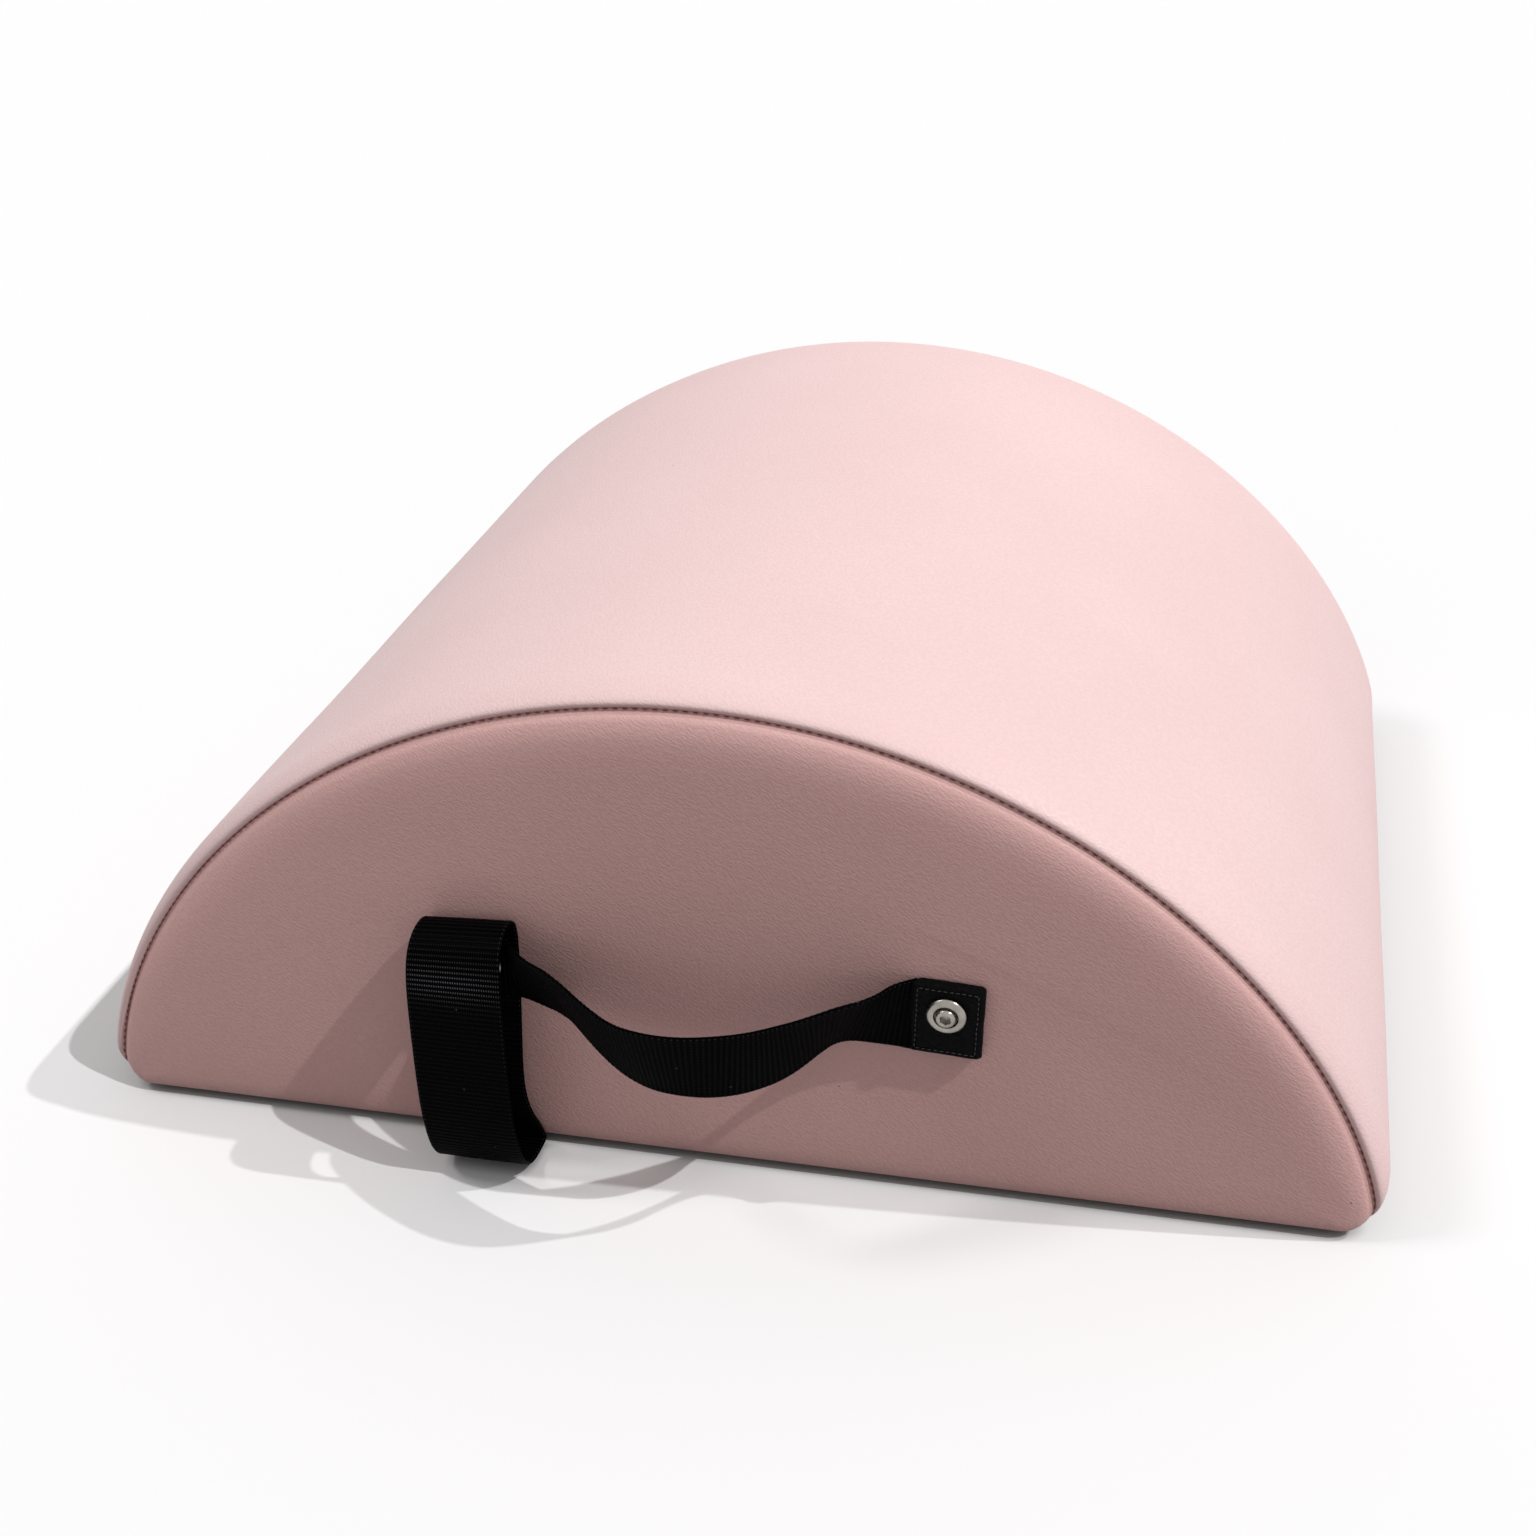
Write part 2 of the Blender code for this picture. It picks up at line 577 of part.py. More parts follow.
# Stringers: battens that join the formers under the arched skin
def stringer_mesh(name, height, side, grow=0.0):
    """A batten laid against the inside of the skin at a height, side -1, 0 or 1; grow widens it for its notch"""
    if side:
        x, z, normal = arch_point(arch_angle(FORMER_INSET, height), FORMER_INSET)
    else:
        x, z, normal = arch_point(math.pi / 2, FORMER_INSET)
    half_w, half_l = STRINGER_W / 2 + grow, CORE_HALF - FORMER_T - CLEARANCE
    top = STRINGER_T if grow else -STRINGER_SAG
    mesh = box_mesh(name, (-half_w, -half_l, -STRINGER_SAG - STRINGER_T - grow), (half_w, half_l, top))
    tilt = math.atan2(normal[0], normal[1])
    mesh.transform(Matrix.Rotation(tilt, 4, "Y"))
    mesh.transform(Matrix.Translation((x, 0.0, z)))
    if side < 0:
        mesh.transform(Matrix.Scale(-1.0, 4, (1.0, 0.0, 0.0)))
        mesh.flip_normals()
    return mesh


STRINGERS = (("left_stringer", -1), ("ridge_stringer", 0), ("right_stringer", 1))
notches = []
for stringer_name, stringer_side in STRINGERS:
    add_part(stringer_name, stringer_mesh(stringer_name, SIDE_STRINGER_HEIGHT, stringer_side), PINE, BODY)
    notches.append(stringer_mesh("notch", SIDE_STRINGER_HEIGHT, stringer_side, CLEARANCE))
STRINGER_NOTCHES = add_cutter("stringer_notches", joined_mesh("stringer_notches", notches))


# Formers: three plywood ribs across the body
former_outline = both_sides(arch_side(FORMER_INSET, CORE_FLOOR))
for former_name, former_y in FORMERS:
    former = add_part(former_name, flat_mesh(
        former_name, former_outline, former_y - FORMER_T / 2, former_y + FORMER_T / 2), PLYWOOD, BODY)
    cut(former, FRAME_SCREW_HOLES)
    if former_name == "front_former":
        cut(former, TEE_NUT_BORES)
    if former_name == "middle_former":
        cut(former, STRINGER_NOTCHES)

for screw_name, screw_place in FRAME_SCREWS:
    add_part(screw_name, wood_screw_mesh(screw_name, screw_place, frame_screw_l), ZINC, BODY, 40)


# Arched skin: bent plywood over the formers, standing on the base board
skin_outer = both_sides(arch_side(SKIN_INSET, CORE_FLOOR))
skin_inner = both_sides(arch_side(SKIN_INSET + SKIN_T, CORE_FLOOR))
add_part("arched_skin", flat_mesh("arched_skin", skin_outer + skin_inner[::-1], -CORE_HALF, CORE_HALF),
         PLYWOOD, BODY, 30)


# Foam over the skin; it wraps the edge of the base board and ends one step up the corner, clear of the hem
foam_outer = arch_side(FOAM_INSET, GROUND_GAP + FOAM_INSET, CORNER_R - FOAM_INSET)[1:]
foam_inner = arch_side(FOAM_INSET + ARCH_FOAM_T, foam_outer[0][1])
foam_outline = both_sides(foam_outer) + both_sides(foam_inner)[::-1]
add_part("arch_foam_pad", flat_mesh("arch_foam_pad", foam_outline, -CORE_HALF, CORE_HALF), FOAM, BODY, 30)


# End pads: foam that rounds both ends of the body under the cover
def end_pad_mesh(name):
    """Foam between the wooden core and the cover of the front end"""
    loops = panel_loops()[:-1] + rolled_edge_loops()
    back_y = -CORE_HALF - CLEARANCE
    loops.append([Vector((point.x, back_y, point.z)) for point in loops[-1]])
    bm = bmesh.new()
    rows = skin_loops(bm, loops, True)
    bm.faces.new(rows[0])
    back_face = bm.faces.new(rows[-1][::-1])
    bm.normal_update()
    depth = COVER_T + FOAM_CLEARANCE
    moved = [(vert, vert.co - vert.normal * depth * vert.calc_shell_factor()) for vert in bm.verts]
    for vert, place in moved:
        vert.co = place
    for vert in back_face.verts:
        vert.co.y = back_y
    return finished_mesh(name, bm)


def turn_to_rear(mesh):
    """Mirror a front end piece to the rear"""
    mesh.transform(Matrix.Scale(-1.0, 4, (0.0, 1.0, 0.0)))
    mesh.flip_normals()
    return mesh


front_end_pad = add_part("front_end_pad", end_pad_mesh("front_end_pad"), FOAM, BODY, 40)
cut(front_end_pad, STRAP_BORES)
add_part("rear_end_pad", turn_to_rear(end_pad_mesh("rear_end_pad")), FOAM, BODY, 40)


# Cover over the arch: one panel with rolled edges, its sides turned under the base board
bm = bmesh.new()
front_edge = rolled_edge_loops()
skin_loops(bm, front_edge + mirrored(front_edge), False)
shell_object("arch_cover", bm, PINK_LEATHER, COVER_T, 40)


# End panels of the cover, with a hem turned under the base board
def end_panel(bm):
    """Crowned panel inside the end seam and its hem"""
    rows = skin_loops(bm, panel_loops(), True)
    bm.faces.new(rows[0])
    left, right = rows[-1][-1], rows[-1][0]
    inner = [left.co.copy(), right.co.copy()]
    for corner in inner:
        corner.x -= math.copysign(SEAM_GAP, corner.x)
    left_start, right_start = [bm.verts.new(corner) for corner in inner]
    bm.faces.remove(next(face for face in left.link_faces if right in face.verts))
    left_up, right_up = rows[-2][-1], rows[-2][0]
    bm.faces.new((left_up, left, left_start, right_start, right, right_up))
    back = [bm.verts.new(vert.co + Vector((0.0, HEM, 0.0))) for vert in (left_start, right_start)]
    bm.faces.new((left_start, back[0], back[1], right_start))


for end_name in ("front_end_cover", "rear_end_cover"):
    bm = bmesh.new()
    end_panel(bm)
    if end_name == "rear_end_cover":
        bmesh.ops.scale(bm, vec=(1.0, -1.0, 1.0), verts=bm.verts)
        bmesh.ops.reverse_faces(bm, faces=bm.faces)
    end_cover = shell_object(end_name, bm, PINK_LEATHER, COVER_T, 40)
    if end_name == "front_end_cover":
        cut(end_cover, STRAP_BORES)


# Dust cover under the base board
cover_foot_x = arch_side(0.0, GROUND_GAP, CORNER_R)[0][0]
dust_x = cover_foot_x - DUST_COVER_MARGIN
dust_y = BODY_DEPTH / 2 - SEAM_FLOOR_SETBACK - DUST_COVER_MARGIN
bm = bmesh.new()
bm.from_mesh(box_mesh("sheet", (-dust_x, -dust_y, DUST_COVER_BOTTOM), (dust_x, dust_y, DUST_COVER_TOP)))
upright = [edge for edge in bm.edges if abs(edge.verts[0].co.z - edge.verts[1].co.z) > DUST_COVER_T / 2]
bmesh.ops.bevel(bm, geom=upright, offset=DUST_COVER_CORNER, segments=3, profile=0.5, affect="EDGES")
dust_cover = add_part("dust_cover", finished_mesh("dust_cover", bm), NON_WOVEN, BODY)
cut(dust_cover, FOOT_SCREW_HOLES)


# Feet: four rubber discs, screwed through the dust cover into the base board
foot_recess_r = WOOD_SCREW_HEAD_R + 2 * CLEARANCE
foot_recess_top = FOOT_SCREW_RECESS + WOOD_SCREW_HEAD_T + 2 * CLEARANCE
FOOT_PROFILE = (
    (WOOD_SCREW_HOLE_R, FOOT_T), (FOOT_R - FOOT_CHAMFER, FOOT_T), (FOOT_R, FOOT_T - FOOT_CHAMFER),
    (FOOT_R, FOOT_CHAMFER), (FOOT_R - FOOT_CHAMFER, 0.0), (foot_recess_r, 0.0),
    (foot_recess_r, FOOT_SCREW_RECESS), (WOOD_SCREW_HOLE_R, foot_recess_top),
)
for foot_name, (foot_x, foot_y) in FEET:
    add_part(foot_name, turned_mesh(foot_name, FOOT_PROFILE, (foot_x, foot_y, 0.0)), RUBBER, BODY, 40)
    foot_screw_name = foot_name + "_screw"
    add_part(foot_screw_name, wood_screw_mesh(
        foot_screw_name, (foot_x, foot_y, FOOT_SCREW_RECESS), foot_screw_l), ZINC, BODY, 40)


# Webbing: strips drawn through stations of a centre and half the strip's width as a vector
def webbing_mesh(name, stations, closed):
    """A strip of webbing of even thickness along its stations"""
    bm = bmesh.new()
    rows = []
    for centre, half in stations:
        rows.append([bm.verts.new(centre + half * side) for side in (-1.0, 0.0, 1.0)])
    following = rows[1:] + (rows[:1] if closed else [])
    for row, after in zip(rows, following):
        for i in range(2):
            bm.faces.new((row[i], after[i], after[i + 1], row[i + 1]))
    made = bpy.data.objects.new(name, finished_mesh(name, bm))
    PARTS.objects.link(made)
    solidify = made.modifiers.new("thickness", "SOLIDIFY")
    solidify.thickness = WEB_T
    solidify.offset = 0.0
    return evaluated_mesh(name, made)


def slice_mesh(mesh, low_x, high_x):
    """The stretch of a closed mesh between two places along X, closed again"""
    bm = bmesh.new()
    bm.from_mesh(mesh)
    for x, facing in ((low_x, -1.0), (high_x, 1.0)):
        if x is None:
            continue
        geometry = bm.verts[:] + bm.edges[:] + bm.faces[:]
        result = bmesh.ops.bisect_plane(bm, geom=geometry, plane_co=(x, 0.0, 0.0), plane_no=(facing, 0.0, 0.0),
                                        clear_outer=True)
        rim = [item for item in result["geom_cut"] if isinstance(item, bmesh.types.BMEdge)]
        bmesh.ops.edgeloop_fill(bm, edges=rim)
    bmesh.ops.recalc_face_normals(bm, faces=bm.faces)
    return finished_mesh(mesh.name, bm)


# Handle: one length of webbing, folded double at both ends. Its middle moves, and its ends stay on the panel.
handle_mesh = webbing_mesh("handle_webbing", handle_stations(), False)
half_gap = CLEARANCE / 2
HANDLE_STRETCHES = (
    ("handle_left_end", None, BOW_CUT_LEFT_X - half_gap, BODY),
    ("handle_strap", BOW_CUT_LEFT_X + half_gap, BOW_CUT_RIGHT_X - half_gap, HANDLE_HINGE),
    ("handle_right_end", BOW_CUT_RIGHT_X + half_gap, None, BODY),
)
for stretch_name, stretch_low, stretch_high, stretch_parent in HANDLE_STRETCHES:
    stretch = add_part(stretch_name, slice_mesh(handle_mesh, stretch_low, stretch_high), WEBBING,
                       stretch_parent, 30)
    if stretch_parent is BODY:
        cut(stretch, STRAP_BORES)
bpy.data.meshes.remove(handle_mesh)


# Hand loop: a closed band of wider webbing, held through its back by the left anchor
def loop_stations():
    """Stations round the loop, on a smooth closed curve through its control points"""
    count = len(LOOP_SHAPE)
    stations = []
    for i in range(count):
        before, start, end, after = (Vector(LOOP_SHAPE[(i + k) % count]) for k in range(4))
        for step in range(LOOP_STEPS):
            t = step / LOOP_STEPS
            point = (before * (1 - t) ** 3 + start * (3 * t ** 3 - 6 * t ** 2 + 4)
                     + end * (-3 * t ** 3 + 3 * t ** 2 + 3 * t + 1) + after * t ** 3) / 6
            width = LOOP_WEB_W - (LOOP_WEB_W - LOOP_BACK_WEB_W) * point.z
            stations.append((Vector((LOOP_X, FACE_Y - point.x, point.y)), Vector((width / 2, 0.0, 0.0))))
    return stations


hand_loop = add_part("hand_loop", webbing_mesh("hand_loop", loop_stations(), True), WEBBING, LOOP_SWIVEL, 40)
cut(hand_loop, anchor_cutter("loop_bore", SCREW_HOLE_R, 0.0, LOOP_BACK_OUT + WEB_T))


# Anchors: a cup washer, a socket head screw and a tee nut behind the former, at each end of the handle
WASHER_PROFILE = (
    (SCREW_HOLE_R, 0.0), (SCREW_HOLE_R, WASHER_FLOOR_T), (0.0053, WASHER_FLOOR_T), (0.0056, 0.0024),
    (0.0061, WASHER_T), (0.0075, 0.0024), (WASHER_R, 0.0013), (WASHER_R, 0.0005), (0.0081, 0.0),
)
TEE_NUT_PROFILE = (
    (SCREW_HOLE_R, TEE_NUT_BARREL), (TEE_NUT_BARREL_R, TEE_NUT_BARREL), (TEE_NUT_BARREL_R, -CLEARANCE),
    (TEE_NUT_R, -CLEARANCE), (TEE_NUT_R, -CLEARANCE - TEE_NUT_FLANGE_T),
    (SCREW_HOLE_R, -CLEARANCE - TEE_NUT_FLANGE_T),
)


def socket_screw_mesh(name, x, z, head_out):
    """A button head screw from the washer to just behind the tee nut, with a hexagon socket"""
    length = head_out - FORMER_BACK_OUT + TEE_NUT_FLANGE_T + SCREW_TIP
    profile = ((0.0, SCREW_HEAD_T), (SCREW_HEAD_R * 0.6, SCREW_HEAD_T), (SCREW_HEAD_R * 0.88, SCREW_HEAD_T * 0.7),
               (SCREW_HEAD_R, SCREW_HEAD_T * 0.3), (SCREW_HEAD_R, 0.0), (SCREW_R, 0.0),
               (SCREW_R, -length + SCREW_R / 3), (SCREW_R * 0.7, -length), (0.0, -length))
    return turned_mesh(name, profile, (x, FACE_Y - head_out, z), "-Y", False)


for side, anchor_x, anchor_z, washer_out in ANCHORS:
    washer_name, screw_name, tee_nut_name = side + "_cup_washer", side + "_anchor_screw", side + "_tee_nut"
    add_part(washer_name, turned_mesh(
        washer_name, WASHER_PROFILE, (anchor_x, FACE_Y - washer_out, anchor_z), "-Y"), NICKEL, BODY, 30)
    head_out = washer_out + WASHER_FLOOR_T + CLEARANCE
    screw = add_part(screw_name, socket_screw_mesh(screw_name, anchor_x, anchor_z, head_out), NICKEL, BODY, 30)
    socket_low = head_out + SCREW_HEAD_T - SCREW_SOCKET_DEPTH
    socket = turned_mesh("socket", rod_profile(SCREW_SOCKET_R, socket_low, socket_low + SCREW_HEAD_T),
                         (anchor_x, FACE_Y, anchor_z), "-Y", False, 6)
    cut(screw, add_cutter(side + "_socket", socket))
    add_part(tee_nut_name, turned_mesh(
        tee_nut_name, TEE_NUT_PROFILE, (anchor_x, FACE_Y - FORMER_BACK_OUT, anchor_z), "-Y"), ZINC, BODY, 30)
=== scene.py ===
import math

import bmesh
import bpy
from mathutils import Matrix, Vector, noise


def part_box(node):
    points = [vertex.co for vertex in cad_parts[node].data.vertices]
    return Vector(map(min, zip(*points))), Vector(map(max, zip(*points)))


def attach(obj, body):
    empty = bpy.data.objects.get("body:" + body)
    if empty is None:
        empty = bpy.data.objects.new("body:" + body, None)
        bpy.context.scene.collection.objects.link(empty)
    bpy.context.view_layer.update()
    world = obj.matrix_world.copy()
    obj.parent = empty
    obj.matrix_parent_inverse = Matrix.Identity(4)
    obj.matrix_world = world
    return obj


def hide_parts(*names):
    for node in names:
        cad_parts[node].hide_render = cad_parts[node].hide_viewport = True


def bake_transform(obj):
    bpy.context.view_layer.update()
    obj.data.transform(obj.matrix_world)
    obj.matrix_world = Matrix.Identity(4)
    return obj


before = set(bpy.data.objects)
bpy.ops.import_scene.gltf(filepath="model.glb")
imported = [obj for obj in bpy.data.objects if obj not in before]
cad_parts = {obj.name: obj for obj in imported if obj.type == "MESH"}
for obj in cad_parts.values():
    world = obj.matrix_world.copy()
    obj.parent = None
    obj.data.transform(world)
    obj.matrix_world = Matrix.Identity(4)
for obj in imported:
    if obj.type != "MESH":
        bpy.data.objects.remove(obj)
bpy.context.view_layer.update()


# Camera: a 47 mm lens on a square 36 mm frame. It stands to the right of the strap end, above the crown of
# the arch, and looks down to the left with a slight roll.
def in_scene(name, data):
    """A new object of the scene that holds some data"""
    made = bpy.data.objects.new(name, data)
    bpy.context.scene.collection.objects.link(made)
    return made


camera_data = bpy.data.cameras.new("camera")
camera_data.lens = 46.914
camera_data.sensor_width = 36.0
camera_data.clip_end = 50.0
camera = in_scene("camera", camera_data)
bpy.context.scene.camera = camera

pitch, yaw, roll = (math.radians(angle) for angle in (29.329, 15.154, -3.048))
forward = Vector((-math.sin(yaw) * math.cos(pitch), math.cos(yaw) * math.cos(pitch), -math.sin(pitch)))
level = Vector((math.cos(yaw), math.sin(yaw), 0.0))
upright = level.cross(forward)
camera_right = level * math.cos(roll) + upright * math.sin(roll)
camera_up = upright * math.cos(roll) - level * math.sin(roll)
turn = Matrix((camera_right, camera_up, -forward)).transposed().to_4x4()
camera.matrix_world = Matrix.Translation((0.224985, -0.892979, 0.607878)) @ turn


# Studio light: two lamps high on the right, one a little behind the middle and one a little in front of it, and
# a weaker one on the left, draw crisp overlapping shadows. The pale room fills in the shaded end panel.
ROOM_FILL = 0.45


def add_sun(name, towards, strength, spread):
    """A distant lamp that shines from one direction"""
    data = bpy.data.lights.new(name, "SUN")
    data.energy = strength
    data.angle = math.radians(spread)
    in_scene(name, data).rotation_euler = Vector(towards).to_track_quat("Z", "Y").to_euler()


def feed(tree, node, inputs):
    """Give a node's inputs their values, or link them to the outputs that feed them"""
    for name, value in inputs.items():
        socket = node.inputs[name]
        if isinstance(value, bpy.types.NodeSocket):
            tree.links.new(value, socket)
        else:
            socket.default_value = (*value, 1.0) if socket.type == "RGBA" else value


def add_node(tree, kind, inputs=None, **settings):
    """A new shader node with its settings made and its inputs fed"""
    made = tree.nodes.new("ShaderNode" + kind)
    for setting, value in settings.items():
        setattr(made, setting, value)
    feed(tree, made, inputs or {})
    return made


def worked(tree, operation, *values):
    """A math node fed with outputs or numbers"""
    return add_node(tree, "Math", dict(enumerate(values)), operation=operation).outputs[0]


def mapped(tree, value, low, high, to_low=0.0, to_high=1.0):
    """A value moved from one range to another and held at its ends"""
    return add_node(tree, "MapRange", {"Value": value, "From Min": low, "From Max": high, "To Min": to_low,
                                       "To Max": to_high}).outputs["Result"]


def seen_by(tree, *rays):
    """1 where a ray of one of these kinds arrives"""
    path = add_node(tree, "LightPath")
    seen = path.outputs[rays[0]]
    for ray in rays[1:]:
        seen = worked(tree, "MAXIMUM", seen, path.outputs[ray])
    return seen


add_sun("lamp_right_back", (0.82, 0.12, 1.0), 1.06, 0.8)
add_sun("lamp_right_front", (0.80, -0.195, 1.0), 1.36, 0.7)
add_sun("lamp_left", (-0.73, -0.09, 1.0), 0.50, 11.0)

room = bpy.data.worlds.new("room")
room.use_nodes = True
bpy.context.scene.world = room
tree = room.node_tree
seen = seen_by(tree, "Is Camera Ray", "Is Glossy Ray", "Is Transmission Ray")
feed(tree, tree.nodes["Background"], {"Color": (1.0, 0.985, 0.98),
                                      "Strength": mapped(tree, seen, 0.0, 1.0, ROOM_FILL)})
bpy.context.scene.view_settings.view_transform = "Standard"


# Floor: a white sweep of studio paper. It is white to the eye and returns less light to the arc than it shows,
# and a painted shade darkens its colour in the narrow gap under the body.
FLOOR_HALF = 6.0
CONTACT_REACH = 0.009


def new_finish(name):
    """A material with its node tree and its main shader"""
    made = bpy.data.materials.new(name)
    made.use_nodes = True
    return made, made.node_tree, made.node_tree.nodes["Principled BSDF"]


def mixed(tree, factor, first, second):
    """A mix of two colours"""
    return add_node(tree, "Mix", {"Factor": factor, "A": first, "B": second}, data_type="RGBA").outputs["Result"]


def finished_mesh(name, bm):
    """Turn a bmesh into a mesh"""
    mesh = bpy.data.meshes.new(name)
    bm.to_mesh(mesh)
    bm.free()
    return mesh


paper, tree, shader = new_finish("studio_paper")
tone = mixed(tree, seen_by(tree, "Is Camera Ray", "Is Glossy Ray"), (0.15, 0.135, 0.135), (0.85, 0.85, 0.855))
# Painted shade: ambient occlusion darkens the paper's colour where it lies close under the body
contact = add_node(tree, "AmbientOcclusion", {"Distance": CONTACT_REACH}, samples=16)
painted_gap_shade = mapped(tree, contact.outputs["AO"], 0.0, 0.7, 0.12)
shaded = add_node(tree, "VectorMath", operation="SCALE")
feed(tree, shaded, {0: tone, "Scale": painted_gap_shade})
feed(tree, shader, {"Base Color": shaded.outputs["Vector"], "Roughness": 0.9, "Specular IOR Level": 0.1})

bm = bmesh.new()
bmesh.ops.create_grid(bm, x_segments=1, y_segments=1, size=FLOOR_HALF)
floor = in_scene("floor", finished_mesh("floor", bm))
floor.data.materials.append(paper)


# Arch upholstery: foam over a bent plywood skin, covered in pale pink leatherette. Its edges roll over both ends
# down to the end seams, and its sides turn round the lower corners and are stapled under the base board. Its
# copy of the leatherette is painted paler and less red than the end panels', a painted highlight for the lit top.
ARC_HALF_CHORD = 0.3051
ARC_RISE = 0.234
ARC_RISE_POWER = 1.25
COVER_BOTTOM = 0.006
FOOT_Z = 0.0034
COVER_T = 0.0012
CORNER_R = 0.0215
# Radius of the lower corners for a line deep inside the outline: a least value and its growth with the inset
INNER_CORNER_R, INNER_CORNER_GROWTH = 0.006, 0.35
PAD_T = 0.0265
HEM = 0.030
SEAM_Y = -0.240
SEAM_INSET = 0.0075
CORE_Y = -0.228
SEAM_FLOOR_SETBACK = 0.007
CORNER_STEPS = 10
ARCH_STEPS = 84
STRAIGHT_STEPS = 54
SWELL, SWELL_SCALE = 0.0005, 9.0
LINT_SHARE_LEFT_OUT = 0.62
BODY_Y = sum(corner.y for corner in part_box("arch_cover")) / 2

# Inset from the outline, set back along the arch, set back behind the seam's own set back under the body
ROLLED_EDGE = (
    (0.0075, 0.0037, 0.0024), (0.0072, 0.0032, 0.0019), (0.0067, 0.0028, 0.0015), (0.0061, 0.0025, 0.0013),
    (0.0054, 0.0024, 0.0012), (0.0046, 0.0028, 0.0014), (0.0037, 0.0038, 0.0017), (0.0029, 0.0053, 0.0019),
    (0.0022, 0.0072, 0.0021), (0.0014, 0.0096, 0.0023), (0.0007, 0.0126, 0.0025), (0.0002, 0.0160, 0.0027),
    (0.0, 0.0195, 0.0029),
)
EVEN_ROLL_ROWS = len(ROLLED_EDGE) - 3


def clamped(share):
    """A share kept between 0 and 1"""
    return min(max(share, 0.0), 1.0)


def eased(share):
    """A share that starts and ends gently"""
    share = clamped(share)
    return share * share * (3 - 2 * share)


def arch_point(angle, inset):
    """Point of the arch outline at an angle from its foot, drawn inset inside it, and the outward normal there"""
    sine, cosine = math.sin(angle), math.cos(angle)
    along_x = -ARC_HALF_CHORD * sine
    along_z = ARC_RISE * ARC_RISE_POWER * sine ** (ARC_RISE_POWER - 1) * cosine
    size = math.hypot(along_x, along_z)
    normal = (along_z / size, -along_x / size)
    x = ARC_HALF_CHORD * cosine - inset * normal[0]
    return x, COVER_BOTTOM + ARC_RISE * sine ** ARC_RISE_POWER - inset * normal[1], normal


def arch_angle(inset, height):
    """Angle at which the inset outline reaches a height"""
    low, high = 1e-4, math.pi / 2
    for _ in range(40):
        middle = (low + high) / 2
        low, high = (middle, high) if arch_point(middle, inset)[1] < height else (low, middle)
    return high


def arch_side(inset, floor, corner_r):
    """Right half of the outline from the underside up to the crown, as (x, z)"""
    start = arch_angle(inset + corner_r, floor + corner_r)
    centre_x, centre_z, normal = arch_point(start, inset + corner_r)
    last = math.atan2(normal[1], normal[0])
    points = []
    for step in range(CORNER_STEPS):
        bend = -math.pi / 2 + (last + math.pi / 2) * step / CORNER_STEPS
        points.append((centre_x + corner_r * math.cos(bend), centre_z + corner_r * math.sin(bend)))
    for step in range(ARCH_STEPS + 1):
        points.append(arch_point(start + (math.pi / 2 - start) * step / ARCH_STEPS, inset)[:2])
    return points


HEM_X = arch_side(0.0, COVER_BOTTOM, CORNER_R)[0][0] - HEM


def both_sides(side):
    """The right half of an outline and its mirror image, which share the crown"""
    return side + [(-x, z) for x, z in reversed(side[:-1])]


def across_loop(inset, floor, y_arch, y_floor, hem_floor):
    """A line round the body from the right hem to the left hem. It lies at y_arch along the arch and eases to
    y_floor where it passes the lower corners."""
    side = arch_side(inset, floor, max(CORNER_R - inset, INNER_CORNER_R + INNER_CORNER_GROWTH * inset))
    side = [(min(HEM_X, side[0][0] - CORNER_R / 2), hem_floor)] + side
    shares = [1.0] + [1 - eased(step / CORNER_STEPS) for step in range(len(side) - 1)]
    shares += shares[-2::-1]
    return [Vector((x, BODY_Y + y_arch + (y_floor - y_arch) * share, z))
            for (x, z), share in zip(both_sides(side), shares)]


def inner_loop(y):
    """The same on the pad's inside, along the skin and over the hem"""
    foot_angle = arch_angle(PAD_T, COVER_BOTTOM + COVER_T)
    foot_x = arch_point(foot_angle, PAD_T)[0]
    first = arch_angle(CORNER_R, COVER_BOTTOM + CORNER_R)
    side = [(HEM_X, COVER_BOTTOM + COVER_T)]
    for step in range(CORNER_STEPS):
        side.append((HEM_X + (foot_x - HEM_X) * (step + 1) / (CORNER_STEPS + 1), COVER_BOTTOM + COVER_T))
    for step in range(ARCH_STEPS + 1):
        side.append(arch_point(max(foot_angle, first + (math.pi / 2 - first) * step / ARCH_STEPS), PAD_T)[:2])
    return [Vector((x, BODY_Y + y, z)) for x, z in both_sides(side)]


def far_end(loop):
    """The same line at the plain end"""
    return [Vector((p.x, 2 * BODY_Y - p.y, p.z)) for p in loop]


def drawn_through(bm, loops, closed_loop):
    """Extrude a line of edges from loop to loop; gives the rows of vertices"""
    row = [bm.verts.new(point) for point in loops[0]]
    edges = [bm.edges.new(pair) for pair in zip(row, row[1:])]
    if closed_loop:
        edges.append(bm.edges.new((row[-1], row[0])))
    rows = [row]
    for loop in loops[1:]:
        made = bmesh.ops.extrude_edge_only(bm, edges=edges)["geom"]
        fresh = {item for item in made if isinstance(item, bmesh.types.BMVert)}
        edges = [item for item in made if isinstance(item, bmesh.types.BMEdge)
                 and item.verts[0] in fresh and item.verts[1] in fresh]
        row = [next(edge.other_vert(vert) for edge in vert.link_edges if edge.other_vert(vert) in fresh)
               for vert in row]
        for vert, point in zip(row, loop):
            vert.co = point
        rows.append(row)
    return rows


def add_piece(name, bm, finish, body, smooth_angle=60):
    """A new piece made from a bmesh, which rides on a body and takes its finish from a material slot"""
    mesh = finished_mesh(name, bm)
    mesh.materials.append(finish)
    mesh.shade_smooth()
    mesh.set_sharp_from_angle(angle=math.radians(smooth_angle))
    made = in_scene(name, mesh)
    if body:
        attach(made, body)
    return made


